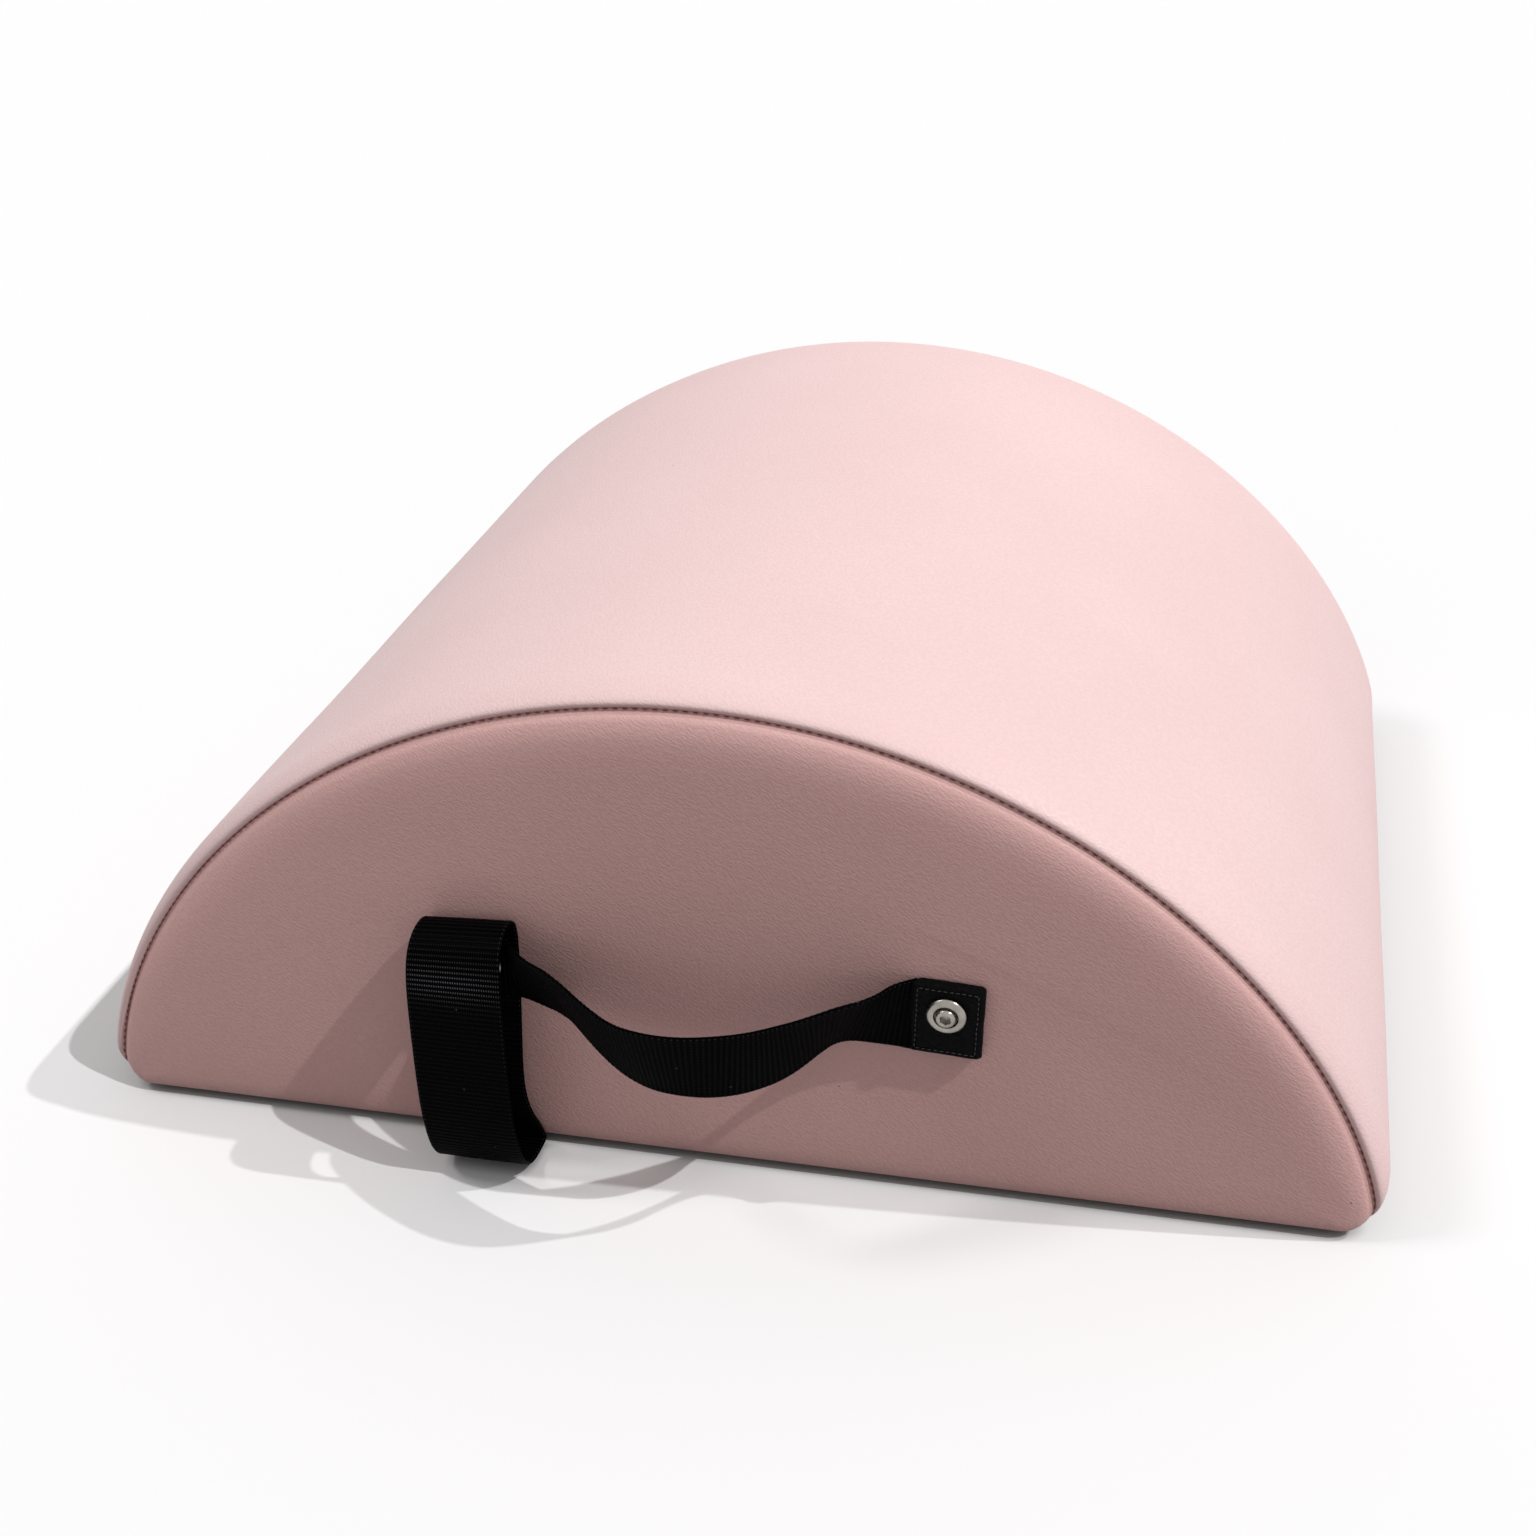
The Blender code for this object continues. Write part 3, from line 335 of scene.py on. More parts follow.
def shader_group(name, inputs, *outputs):
    """An empty group of shader nodes, what it is given by name with usual values, and the node for its results"""
    group = bpy.data.node_groups.new(name, "ShaderNodeTree")
    for socket, value in inputs.items():
        made = group.interface.new_socket(name=socket, in_out="INPUT", socket_type="NodeSocketFloat")
        made.default_value = value
    for socket in outputs:
        group.interface.new_socket(name=socket, in_out="OUTPUT", socket_type="NodeSocketFloat")
    return group, group.nodes.new("NodeGroupInput").outputs, group.nodes.new("NodeGroupOutput")


def place_group(tree, group, **values):
    """The results of a group placed in a material, with values of its own where they are given"""
    return add_node(tree, "Group", values, node_tree=group).outputs


def object_place(tree):
    """Places in the object's own coordinates"""
    return add_node(tree, "TexCoord").outputs["Object"]


def bumped(tree, shader, height, distance, strength=1.0):
    """A bump that turns the shader's normal"""
    bump = add_node(tree, "Bump", {"Height": height, "Distance": distance, "Strength": strength})
    feed(tree, shader, {"Normal": bump.outputs["Normal"]})


# Lint and dust: a sparse scatter of tiny specks, on leather, webbing and rubber alike
specks, given, result = shader_group("lint_specks", {"Spacing": 55.0, "Size": 0.03}, "Mask")
scatter = add_node(specks, "TexVoronoi", {"Vector": object_place(specks), "Scale": given["Spacing"],
                                          "Randomness": 1.0})
near = worked(specks, "LESS_THAN", scatter.outputs["Distance"], given["Size"])
drawn_lot = add_node(specks, "SeparateColor", {0: scatter.outputs["Color"]})
few = worked(specks, "GREATER_THAN", drawn_lot.outputs[0], LINT_SHARE_LEFT_OUT)
feed(specks, result, {"Mask": worked(specks, "MULTIPLY", near, few)})

# The leatherette's face: soft pebbles a millimetre wide between short slanting creases, and a slow drift of tone
# over the hide
hide, given, result = shader_group("leather_grain", {"Pebbles": 900.0, "Creases": 600.0}, "Grain", "Drift")
place = object_place(hide)
drift = add_node(hide, "TexNoise", {"Vector": place, "Scale": 7.0, "Detail": 3.0})
stirred = add_node(hide, "TexNoise", {"Vector": place, "Scale": 420.0, "Detail": 2.0})
warp = add_node(hide, "Mix", {"Factor": 0.0009, "A": place, "B": stirred.outputs["Color"]}, data_type="VECTOR")
pebbles = add_node(hide, "TexVoronoi", feature="SMOOTH_F1")
feed(hide, pebbles, {"Vector": warp.outputs["Result"], "Scale": given["Pebbles"], "Smoothness": 0.5})
slant = add_node(hide, "Mapping", vector_type="TEXTURE")
feed(hide, slant, {"Vector": warp.outputs["Result"], "Rotation": (0.0, math.radians(36), math.radians(20)),
                   "Scale": (1.3, 1.0, 0.5)})
creases = add_node(hide, "TexNoise", {"Vector": slant.outputs["Vector"], "Scale": given["Creases"], "Detail": 2.0,
                                      "Roughness": 0.5})
crease = mapped(hide, creases.outputs["Fac"], 0.40, 0.62)
pebble = worked(hide, "SUBTRACT", 1.0, pebbles.outputs["Distance"])
grain = worked(hide, "ADD", worked(hide, "MULTIPLY", pebble, 0.32), worked(hide, "MULTIPLY", crease, 0.62))
feed(hide, result, {"Grain": grain, "Drift": drift.outputs["Fac"]})


def leather_finish(name, tones, crease_tone, lint_tone):
    """Pink leatherette with a low waxy sheen"""
    made, tree, shader = new_finish(name)
    face = place_group(tree, hide)
    lint = place_group(tree, specks, Spacing=42.0, Size=0.022)
    tone = mixed(tree, mapped(tree, face["Drift"], 0.35, 0.65), *tones)
    tone = mixed(tree, mapped(tree, face["Grain"], 0.15, 0.60, 0.22, 0.0), tone, crease_tone)
    feed(tree, shader, {
        "Base Color": mixed(tree, lint["Mask"], tone, lint_tone),
        "Roughness": mapped(tree, face["Grain"], 0.2, 0.9, 0.56, 0.44),
        "Specular IOR Level": 0.36, "Sheen Weight": 0.05, "Sheen Roughness": 0.4})
    bumped(tree, shader, face["Grain"], 0.00015, 0.65)
    return made


# The arch's copy of the leatherette is painted paler and less red: a painted highlight for the lit top
arch_leather_painted_lit = leather_finish("pink_leather_painted_lit_copy", ((0.770, 0.560, 0.553), (0.796, 0.586, 0.579)),
                              (0.66, 0.45, 0.44), (0.36, 0.22, 0.21))

roll_loops = [across_loop(inset, FOOT_Z, SEAM_Y + back, SEAM_Y + SEAM_FLOOR_SETBACK + floor_back, COVER_BOTTOM)
              for inset, back, floor_back in ROLLED_EDGE]
first_y, floor_y = SEAM_Y + ROLLED_EDGE[-1][1], SEAM_Y + SEAM_FLOOR_SETBACK + ROLLED_EDGE[-1][2]
straight_loops = []
for step in range(1, STRAIGHT_STEPS):
    part_way = 1 - 2 * step / STRAIGHT_STEPS
    straight_loops.append(across_loop(0.0, FOOT_Z, first_y * part_way, floor_y * part_way, COVER_BOTTOM))
outer_loops = roll_loops + straight_loops + [far_end(loop) for loop in reversed(roll_loops)]
lip_loop = across_loop(SEAM_INSET, FOOT_Z + COVER_T, CORE_Y, CORE_Y, COVER_BOTTOM + COVER_T)
back_loops = [far_end(lip_loop), inner_loop(-CORE_Y), inner_loop(CORE_Y), lip_loop]

bm = bmesh.new()
rows = drawn_through(bm, outer_loops + back_loops, False)
bmesh.ops.bridge_loops(bm, edges=[edge for row in (rows[0], rows[-1]) for pair in zip(row, row[1:])
                                  for edge in [bm.edges.get(pair)]])
for end in (0, -1):
    bmesh.ops.contextual_create(bm, geom=[row[end] for row in rows])
bmesh.ops.recalc_face_normals(bm, faces=bm.faces)
bm.normal_update()
# The foam is a little uneven under its cover, in and out along the surface
for row in rows[EVEN_ROLL_ROWS:len(outer_loops) - EVEN_ROLL_ROWS]:
    for vert in row:
        vert.co += vert.normal * SWELL * noise.noise(vert.co * SWELL_SCALE)
arch_upholstery = add_piece("arch_upholstery", bm, arch_leather_painted_lit, "padded_body", 50)
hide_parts("arch_cover", "arch_foam_pad")


# End panels: crowned pads of foam under the same leatherette, sewn to the arch's rolled edge. Their copy of it is
# painted darker and redder than the arch's, painted shade for the ends that face away from the lamps. The strap end
# is drawn in round its two screws.
SEAM_GAP = 0.0003
# Distance in from the seam, set back along the arch, set back along the underside
PANEL_CROWN = (
    (0.0, 0.0046, 0.0026), (0.0002, 0.0043, 0.0012), (0.0006, 0.0037, 0.0003), (0.0013, 0.0030, -0.0006),
    (0.0021, 0.0020, -0.0011), (0.0030, 0.0011, -0.0015), (0.0040, 0.0004, -0.00185), (0.0051, -0.0001, -0.0021),
    (0.0074, -0.0010, -0.0024), (0.0099, -0.00165, -0.0026), (0.0125, -0.00213, -0.0027), (0.0169, -0.0026, -0.0028),
    (0.0215, -0.00285, -0.00286), (0.0300, -0.00296, -0.0029), (0.0430, -0.0030, -0.0030), (0.07, -0.003, -0.003),
)
PANEL_MIDDLE_Z = 0.100
PANEL_SHRINKS = (0.93, 0.86, 0.79, 0.72, 0.65, 0.58, 0.51, 0.44, 0.37, 0.30, 0.23, 0.16, 0.10, 0.05)
PANEL_EVEN_ROWS = 4
# Unevenness of the panel, the height over which it fades in, and its scale across and up
PANEL_SWELL, PANEL_SWELL_RISE, PANEL_SWELL_X, PANEL_SWELL_Z = 0.0007, 0.03, 11, 14
RIGHT_ANCHOR = (0.1142, 0.1025)
LEFT_ANCHOR = (-0.0915, 0.1065)
PULL_DEPTH = 0.0012
PULL_REACH = 0.030
PUCKERS = 9
PUCKER_DEPTH = 0.00006
PUCKER_RING_R, PUCKER_RING_W = 0.030, 0.014
PUCKER_WANDER, PUCKER_WANDER_SCALE = 2.0, 20


def drawn_in(x, z):
    """How far the strap end's cover is pulled in at a place by the two screws, with soft radial puckers"""
    depth = 0.0
    wander = PUCKER_WANDER * noise.noise((x * PUCKER_WANDER_SCALE, 0.0, z * PUCKER_WANDER_SCALE))
    for anchor_x, anchor_z in (RIGHT_ANCHOR, LEFT_ANCHOR):
        away = math.hypot(x - anchor_x, z - anchor_z)
        bearing = math.atan2(z - anchor_z, x - anchor_x)
        depth += PULL_DEPTH * math.exp(-(away / PULL_REACH) ** 2)
        ring = math.exp(-((away - PUCKER_RING_R) / PUCKER_RING_W) ** 2)
        depth += PUCKER_DEPTH * ring * math.sin(PUCKERS * bearing + wander)
    return depth


def end_panel(strap_end):
    """The crowned panel, its sides behind the seam and its flat back"""
    bm = bmesh.new()
    back_y = CORE_Y - SEAM_GAP
    loops = [across_loop(SEAM_INSET + SEAM_GAP, FOOT_Z, back_y, back_y, FOOT_Z)]
    for inward, back, floor_back in PANEL_CROWN:
        loops.append(across_loop(SEAM_INSET + SEAM_GAP + inward, FOOT_Z + inward, SEAM_Y + back,
                                 SEAM_Y + floor_back, FOOT_Z + inward))
    ring = loops[-1]
    for share in PANEL_SHRINKS:
        loops.append([Vector((p.x * share, p.y, PANEL_MIDDLE_Z + (p.z - PANEL_MIDDLE_Z) * share)) for p in ring])
    rows = drawn_through(bm, loops, True)
    bm.faces.new(rows[-1])
    bm.faces.new(rows[0][::-1])
    bmesh.ops.recalc_face_normals(bm, faces=bm.faces)
    bm.normal_update()
    for row in rows[PANEL_EVEN_ROWS:]:
        for vert in row:
            inside = min(1.0, (vert.co.z - COVER_BOTTOM) / PANEL_SWELL_RISE)
            vert.co.y += PANEL_SWELL * inside * noise.noise((vert.co.x * PANEL_SWELL_X, 3.0,
                                                             vert.co.z * PANEL_SWELL_Z))
            if strap_end:
                vert.co.y += drawn_in(vert.co.x, vert.co.z)
    if not strap_end:
        bmesh.ops.scale(bm, vec=(1.0, -1.0, 1.0), verts=bm.verts)
        bmesh.ops.translate(bm, vec=(0.0, 2 * BODY_Y, 0.0), verts=bm.verts)
        bmesh.ops.reverse_faces(bm, faces=bm.faces)
    return bm


# The end panels' and hems' copy of the leatherette is painted darker and redder: painted shade for the shaded ends
panel_leather_painted_shade = leather_finish("pink_leather_painted_shade_copy", ((0.722, 0.436, 0.414), (0.752, 0.462, 0.440)),
                               (0.58, 0.32, 0.30), (0.33, 0.19, 0.18))
for end in ("front", "rear"):
    panel = add_piece(end + "_end_panel", end_panel(end == "front"), panel_leather_painted_shade, "padded_body",
                      50)
    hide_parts(end + "_end_cover", end + "_end_pad")


# End seams: a lockstitch in dark wine thread along the groove between the rolled edge and the end panel. It
# runs all round, also where the seam passes under the body.
STITCH_PITCH = 0.0043
STITCH_HALF = 0.00130
STITCH_R = 0.00030
STITCH_BACK = 0.0030


def thread_finish(name, dark, light):
    """Twisted sewing thread"""
    made, tree, shader = new_finish(name)
    twist = add_node(tree, "TexWave", {"Vector": object_place(tree), "Scale": 900.0, "Distortion": 1.5},
                     wave_type="BANDS", bands_direction="DIAGONAL").outputs["Fac"]
    feed(tree, shader, {"Base Color": mixed(tree, twist, dark, light), "Roughness": 0.55})
    bumped(tree, shader, twist, 0.0001)
    return made


wine_thread = thread_finish("wine_seam_thread", (0.060, 0.008, 0.009), (0.13, 0.022, 0.022))


def even_places(points, spacing):
    """Places at an even spacing along a line of points, with the direction there"""
    places, travelled, due = [], 0.0, spacing / 2
    for start, end in zip(points, points[1:]):
        length = (end - start).length
        while due <= travelled + length:
            places.append((start.lerp(end, (due - travelled) / length), (end - start).normalized()))
            due += spacing
        travelled += length
    return places


def stitches(line, pitch, half, radius):
    """One short thread for each stitch along a line"""
    bm = bmesh.new()
    for centre, along in even_places(line, pitch):
        made = bmesh.ops.create_uvsphere(bm, u_segments=6, v_segments=5, radius=1.0)["verts"]
        bmesh.ops.scale(bm, vec=(radius, radius, half), verts=made)
        bmesh.ops.rotate(bm, matrix=along.to_track_quat("Z", "Y").to_matrix(), verts=made)
        bmesh.ops.translate(bm, vec=centre, verts=made)
    return bm


front_seam_line = across_loop(SEAM_INSET + SEAM_GAP, FOOT_Z + STITCH_R, SEAM_Y + STITCH_BACK,
                              SEAM_Y + SEAM_FLOOR_SETBACK + STITCH_R, FOOT_Z + STITCH_R)
for end, line in (("front", front_seam_line), ("rear", far_end(front_seam_line))):
    add_piece(end + "_seam_stitches", stitches(line, STITCH_PITCH, STITCH_HALF, STITCH_R), wine_thread,
              "padded_body")


# End hems: the lower edge of each end panel turned under the base board, a single flat ply of leatherette. It is
# stapled there, and its outer side hangs a little lower where the panel turns down.
HEM_GAP = 0.0004
END_HEM_SHORTER = 0.0055
END_HEM_SETBACK = 0.0008
HEM_SWELL, HEM_SWELL_X, HEM_SWELL_Y = 0.0006, 26, 9
for end, outward in (("front", -1.0), ("rear", 1.0)):
    bm = bmesh.new()
    bmesh.ops.create_grid(bm, x_segments=60, y_segments=4, size=0.5)
    half_y = (HEM - END_HEM_SHORTER) / 2
    bmesh.ops.scale(bm, vec=(2 * (HEM_X - HEM_GAP), 2 * half_y, 1.0), verts=bm.verts)
    middle_y = BODY_Y + outward * (-CORE_Y - END_HEM_SETBACK - half_y)
    bmesh.ops.translate(bm, vec=(0.0, middle_y, COVER_BOTTOM), verts=bm.verts)
    bmesh.ops.solidify(bm, geom=bm.faces[:], thickness=-COVER_T)
    bmesh.ops.recalc_face_normals(bm, faces=bm.faces)
    for vert in bm.verts:
        outer_share = (outward * (vert.co.y - middle_y) / half_y + 1) / 2
        vert.co.z -= (COVER_BOTTOM - FOOT_Z) * outer_share ** 2
        vert.co.y += HEM_SWELL * noise.noise((vert.co.x * HEM_SWELL_X, vert.co.y * HEM_SWELL_Y, 5.0))
    add_piece(end + "_hem", bm, panel_leather_painted_shade, "padded_body", 40)


# Webbing: black ribbed nylon, woven with raised cross ribs and a tighter selvedge along both edges. The hand loop
# is a closed band of the wider webbing, held at its back by the left screw.
WEB_T = 0.0018
RIB_PITCH = 0.0023
RIB_ROWS = 6
RIB_SWELL = 0.20
THREADS_PER_HALF = 20.0
SELVEDGE = 0.93
# From a selvedge towards the middle: share of the webbing's half width and of its half thickness
WEB_EDGE = ((1.0, 0.0), (0.992, 0.55), (0.965, 0.92), (0.93, 1.0), (0.90, 0.86), (0.6, 0.96), (0.3, 1.0))
LOOP_X = -0.097
LOOP_WEB_W = 0.044
LOOP_BACK_WEB_W = 0.037
LOOP_BACK_OUT = 0.0016
# The loop's top slants up to the right: how much, from which height, and the rise over which the slant sets in
LOOP_TOP_TILT, LOOP_TILT_FROM, LOOP_TILT_RISE = 0.05, 0.100, 0.025
LOOP_STEPS = 12
FACE_Y = BODY_Y - 0.243
# Where a painted sheen lies on the loop's webbing, a painted highlight for the lamps on its upper bend: the middle
# of the place, the lengths over which it fades to the side and up, and how far behind its middle it still shows
LOOP_PAINTED_SHEEN = Vector((LOOP_X - 0.004, FACE_Y - 0.029, 0.1095))
PAINTED_SHEEN_HALF_W, PAINTED_SHEEN_HALF_H, PAINTED_SHEEN_DEPTH = 0.030, 0.0075, 0.006
# Side view of the loop: distance out from the panel, height, and how far the webbing is gathered there
LOOP_SHAPE = (
    (LOOP_BACK_OUT, 0.084, 1.0), (LOOP_BACK_OUT, 0.0975, 0.7), (LOOP_BACK_OUT, 0.111, 0.4),
    (LOOP_BACK_OUT, 0.1225, 0.3), (0.0052, 0.1282, 0.3), (0.0155, 0.1290, 0.25), (0.0255, 0.1240, 0.15),
    (0.0300, 0.110, 0.0), (0.0325, 0.089, 0.0), (0.0345, 0.064, 0.0), (0.0355, 0.040, 0.0), (0.0320, 0.018, 0.0),
    (0.0235, 0.0060, 0.0), (0.0115, 0.0040, 0.0), (0.0010, 0.0044, 0.0), (0.0010, 0.0048, 0.0),
    (0.0042, 0.0150, 0.1), (0.0115, 0.028, 0.3), (0.0150, 0.042, 0.4), (0.0120, 0.056, 0.6), (0.0060, 0.070, 0.9),
)

webbing, tree, shader = new_finish("black_webbing_finish")
unwrapped = add_node(tree, "UVMap", uv_map="weave")
split = add_node(tree, "SeparateXYZ", {0: unwrapped.outputs["UV"]})
across, along = split.outputs["X"], split.outputs["Y"]
rib = worked(tree, "SINE", worked(tree, "MULTIPLY", along, 2 * math.pi / RIB_PITCH))
rib_half = worked(tree, "MULTIPLY", worked(tree, "FLOOR", worked(tree, "MULTIPLY", along, 2 / RIB_PITCH)), 0.5)
threads = worked(tree, "ADD", worked(tree, "MULTIPLY", across, THREADS_PER_HALF), rib_half)
thread_wave = worked(tree, "SINE", worked(tree, "MULTIPLY", threads, 2 * math.pi))
fibre = add_node(tree, "TexNoise", {"Vector": object_place(tree), "Scale": 1300.0, "Detail": 3.0})
knuckle = worked(tree, "MULTIPLY", mapped(tree, rib, -0.2, 1.0), mapped(tree, thread_wave, -0.6, 1.0))
weave = worked(tree, "ADD", knuckle, worked(tree, "MULTIPLY", fibre.outputs["Fac"], 0.5))
edge = worked(tree, "GREATER_THAN", worked(tree, "ABSOLUTE", across), SELVEDGE)
# The weave's crests are painted lighter than its near-black valleys: a painted highlight on the thread knuckles and
# painted shade between them
crest_highlight = mapped(tree, weave, 0.45, 1.35)
# Painted sheen: a much lighter tone painted on the loop's upper bend, a painted highlight for the lamps there
painted_sheen_mask = add_node(tree, "Attribute", attribute_name="painted_sheen").outputs["Fac"]
lint = place_group(tree, specks, Spacing=95.0, Size=0.05)["Mask"]
tone = mixed(tree, painted_sheen_mask, (0.0110, 0.0117, 0.0136), (0.190, 0.200, 0.220))
tone = mixed(tree, crest_highlight, (0.0003, 0.0003, 0.0004), tone)
tone = mixed(tree, worked(tree, "MULTIPLY", edge, crest_highlight), tone, (0.034, 0.036, 0.040))
lay = add_node(tree, "Tangent", direction_type="UV_MAP", uv_map="weave")
feed(tree, shader, {
    "Base Color": mixed(tree, lint, tone, (0.06, 0.06, 0.065)),
    "Roughness": mapped(tree, weave, 0.2, 1.3, 0.50, 0.32),
    "Specular IOR Level": 0.016, "Anisotropic": 0.85, "Tangent": lay.outputs["Tangent"]})
bumped(tree, shader, weave, 0.00045)


def smooth_stations(stations, spacing, closed):
    """Stations of (centre, half of the webbing's width as a vector) at an even spacing along the webbing"""
    line = stations + stations[:1] if closed else stations
    lengths = [0.0]
    for start, end in zip(line, line[1:]):
        lengths.append(lengths[-1] + (end[0] - start[0]).length)
    count = max(2, round(lengths[-1] / spacing))
    even, at = [], 0
    for step in range(count if closed else count + 1):
        due = lengths[-1] * step / count
        while at < len(line) - 2 and lengths[at + 1] < due:
            at += 1
        share = (due - lengths[at]) / max(lengths[at + 1] - lengths[at], 1e-9)
        even.append((line[at][0].lerp(line[at + 1][0], share), line[at][1].lerp(line[at + 1][1], share), due))
    return even


def webbing_along(stations, closed, start_along=0.0, painted_sheen_at=None):
    """Ribbed webbing drawn along its stations. Its weave map holds the share across and the metres along, and its
    painted sheen attribute fades out from a place: a painted highlight where the outer face would catch the light."""
    even = smooth_stations(stations, RIB_PITCH / RIB_ROWS, closed)
    outer_face = [(-a, t) for a, t in WEB_EDGE] + [(0.0, 1.0)] + list(WEB_EDGE[::-1])
    profile = outer_face + [(a, -t) for a, t in reversed(outer_face[1:-1])]
    loops, marks = [], []
    for i, (centre, half, due) in enumerate(even):
        before = even[i - 1][0] if i or closed else centre
        after = even[(i + 1) % len(even)][0] if i + 1 < len(even) or closed else centre
        out = (after - before).normalized().cross(half.normalized())
        swell = WEB_T / 2 * (1 - RIB_SWELL * (0.5 - 0.5 * math.sin(2 * math.pi * (due + start_along) / RIB_PITCH)))
        loops.append([centre + half * a + out * swell * t for a, t in profile])
        marks.append(due + start_along)
    if closed:
        loops.append(loops[0])
        marks.append(marks[-1] + RIB_PITCH / RIB_ROWS)
    bm = bmesh.new()
    rows = drawn_through(bm, loops, True)
    weave_map = bm.loops.layers.uv.new("weave")
    for row, after, mark, next_mark in zip(rows, rows[1:], marks, marks[1:]):
        upper = set(after)
        for j in range(len(row)):
            k = (j + 1) % len(row)
            side_of = {rim[at]: profile[at][0] for rim in (row, after) for at in (j, k)}
            edge = bm.edges.get((row[j], row[k]))
            face = next(face for face in edge.link_faces if any(vert in upper for vert in face.verts))
            for corner in face.loops:
                corner[weave_map].uv = (side_of[corner.vert], next_mark if corner.vert in upper else mark)
    if closed:
        bmesh.ops.remove_doubles(bm, verts=rows[0] + rows[-1], dist=1e-7)
    else:
        bm.faces.new(rows[0])
        bm.faces.new(rows[-1][::-1])
    bmesh.ops.recalc_face_normals(bm, faces=bm.faces)
    painted_sheen = bm.verts.layers.float.new("painted_sheen")
    if painted_sheen_at:
        for vert in bm.verts:
            way = vert.co - painted_sheen_at
            if way.y < PAINTED_SHEEN_DEPTH:
                vert[painted_sheen] = math.exp(-(way.x / PAINTED_SHEEN_HALF_W) ** 2 - (way.z / PAINTED_SHEEN_HALF_H) ** 2)
    return bm


# The loop runs as a smooth curve close to the places in its shape
loop_stations = []
for i in range(len(LOOP_SHAPE)):
    before, start, end, after = (Vector(LOOP_SHAPE[(i + k) % len(LOOP_SHAPE)]) for k in range(4))
    for step in range(LOOP_STEPS):
        t = step / LOOP_STEPS
        point = (before * (1 - t) ** 3 + start * (3 * t ** 3 - 6 * t ** 2 + 4)
                 + end * (-3 * t ** 3 + 3 * t ** 2 + 3 * t + 1) + after * t ** 3) / 6
        width = LOOP_WEB_W - (LOOP_WEB_W - LOOP_BACK_WEB_W) * point.z
        lift = LOOP_TOP_TILT * clamped((point.y - LOOP_TILT_FROM) / LOOP_TILT_RISE) * width / 2
        loop_stations.append((Vector((LOOP_X, FACE_Y - point.x, point.y)), Vector((width / 2, 0.0, lift))))
bm = webbing_along(loop_stations, True, painted_sheen_at=LOOP_PAINTED_SHEEN)
hand_loop_band = add_piece("hand_loop_webbing", bm, webbing, "hand_loop_band", 70)
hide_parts("hand_loop")


# Handle: one length of narrower webbing, folded double under a washer at both ends. It bows out between them, leans
# back at its middle and is gathered under the left washer. Its middle rides on the handle's bow.
HANDLE_WEB_W = 0.038
HANDLE_LEFT_WEB_W = 0.030
HANDLE_TAB_WEB_W = 0.0352
RIGHT_TAB_INNER_X, RIGHT_TAB_OUTER_X = 0.099, 0.1282
LEFT_TAB_INNER_X, LEFT_TAB_OUTER_X = -0.080, -0.106
RIGHT_BACK_OUT, RIGHT_FRONT_OUT = 0.0012, 0.0030
LEFT_BACK_OUT, LEFT_FRONT_OUT = 0.0041, 0.0063
LEFT_TAB_SAG, RIGHT_TAB_SAG = 0.0030, 0.0040
RIGHT_TAB_TILT = math.radians(3.4)
FOLD_STEPS = 12
BOW_STEPS = 120
BOW_SPLIT_LEFT_X, BOW_SPLIT_RIGHT_X = -0.040, 0.060
BLEND_PAST_SPLIT = 0.003
BOW_REACH, BOW_REACH_SKEW, BOW_REACH_POWER = 0.0486, 0.97, 1.37
BOW_SAG = 0.0055
# Degrees of lean at the bow's middle, added towards its ends, and how late the webbing stands up again there
BOW_LEAN, BOW_END_LEAN, BOW_LEAN_POWER = 13.4, 79.5, 1.5
# Shares of the way at which the gathered webbing reaches its full width and starts to narrow again
BOW_WIDE_FROM, BOW_WIDE_TO = 0.08, 0.88
# Along the bow: share of the way, degrees of lean added, lift
BOW_TWISTS = (
    (0.0, 0.0, 0.0), (0.04, -1.2, 0.0002), (0.09, -3.5, 0.0012), (0.14, -6.9, 0.0033), (0.19, -8.7, 0.0051),
    (0.26, -6.0, 0.0030), (0.35, -0.3, 0.0006), (0.50, 0.9, 0.0019), (0.58, -2.5, 0.0013), (0.66, -5.9, -0.0001),
    (0.74, -8.1, 0.0003), (0.80, 0.8, 0.0033), (0.86, 2.5, 0.0044), (0.90, 2.0, 0.0026), (0.935, -8.0, 0.0023),
    (0.965, -13.0, 0.0015), (1.0, 0.0, 0.0),
)
TWIST_NEIGHBOURS, TWIST_NEIGHBOUR_STEP = 3, 0.012


def right_tab_z(x):
    """Height of the right tab's middle line"""
    return RIGHT_ANCHOR[1] - RIGHT_TAB_SAG - math.tan(RIGHT_TAB_TILT) * (x - RIGHT_ANCHOR[0])


def left_tab_z(_):
    """Height of the left tab's level middle line"""
    return LEFT_ANCHOR[1] - LEFT_TAB_SAG


def bow_twist(share):
    """Lean and lift added at a share of the way, averaged with those of its neighbours"""
    around = []
    for step in range(-TWIST_NEIGHBOURS, TWIST_NEIGHBOURS + 1):
        place = clamped(share + step * TWIST_NEIGHBOUR_STEP)
        (low, *before), (high, *after) = next(
            pair for pair in zip(BOW_TWISTS, BOW_TWISTS[1:]) if place <= pair[1][0])
        around.append([a + (b - a) * (place - low) / (high - low) for a, b in zip(before, after)])
    return [sum(column) / len(column) for column in zip(*around)]


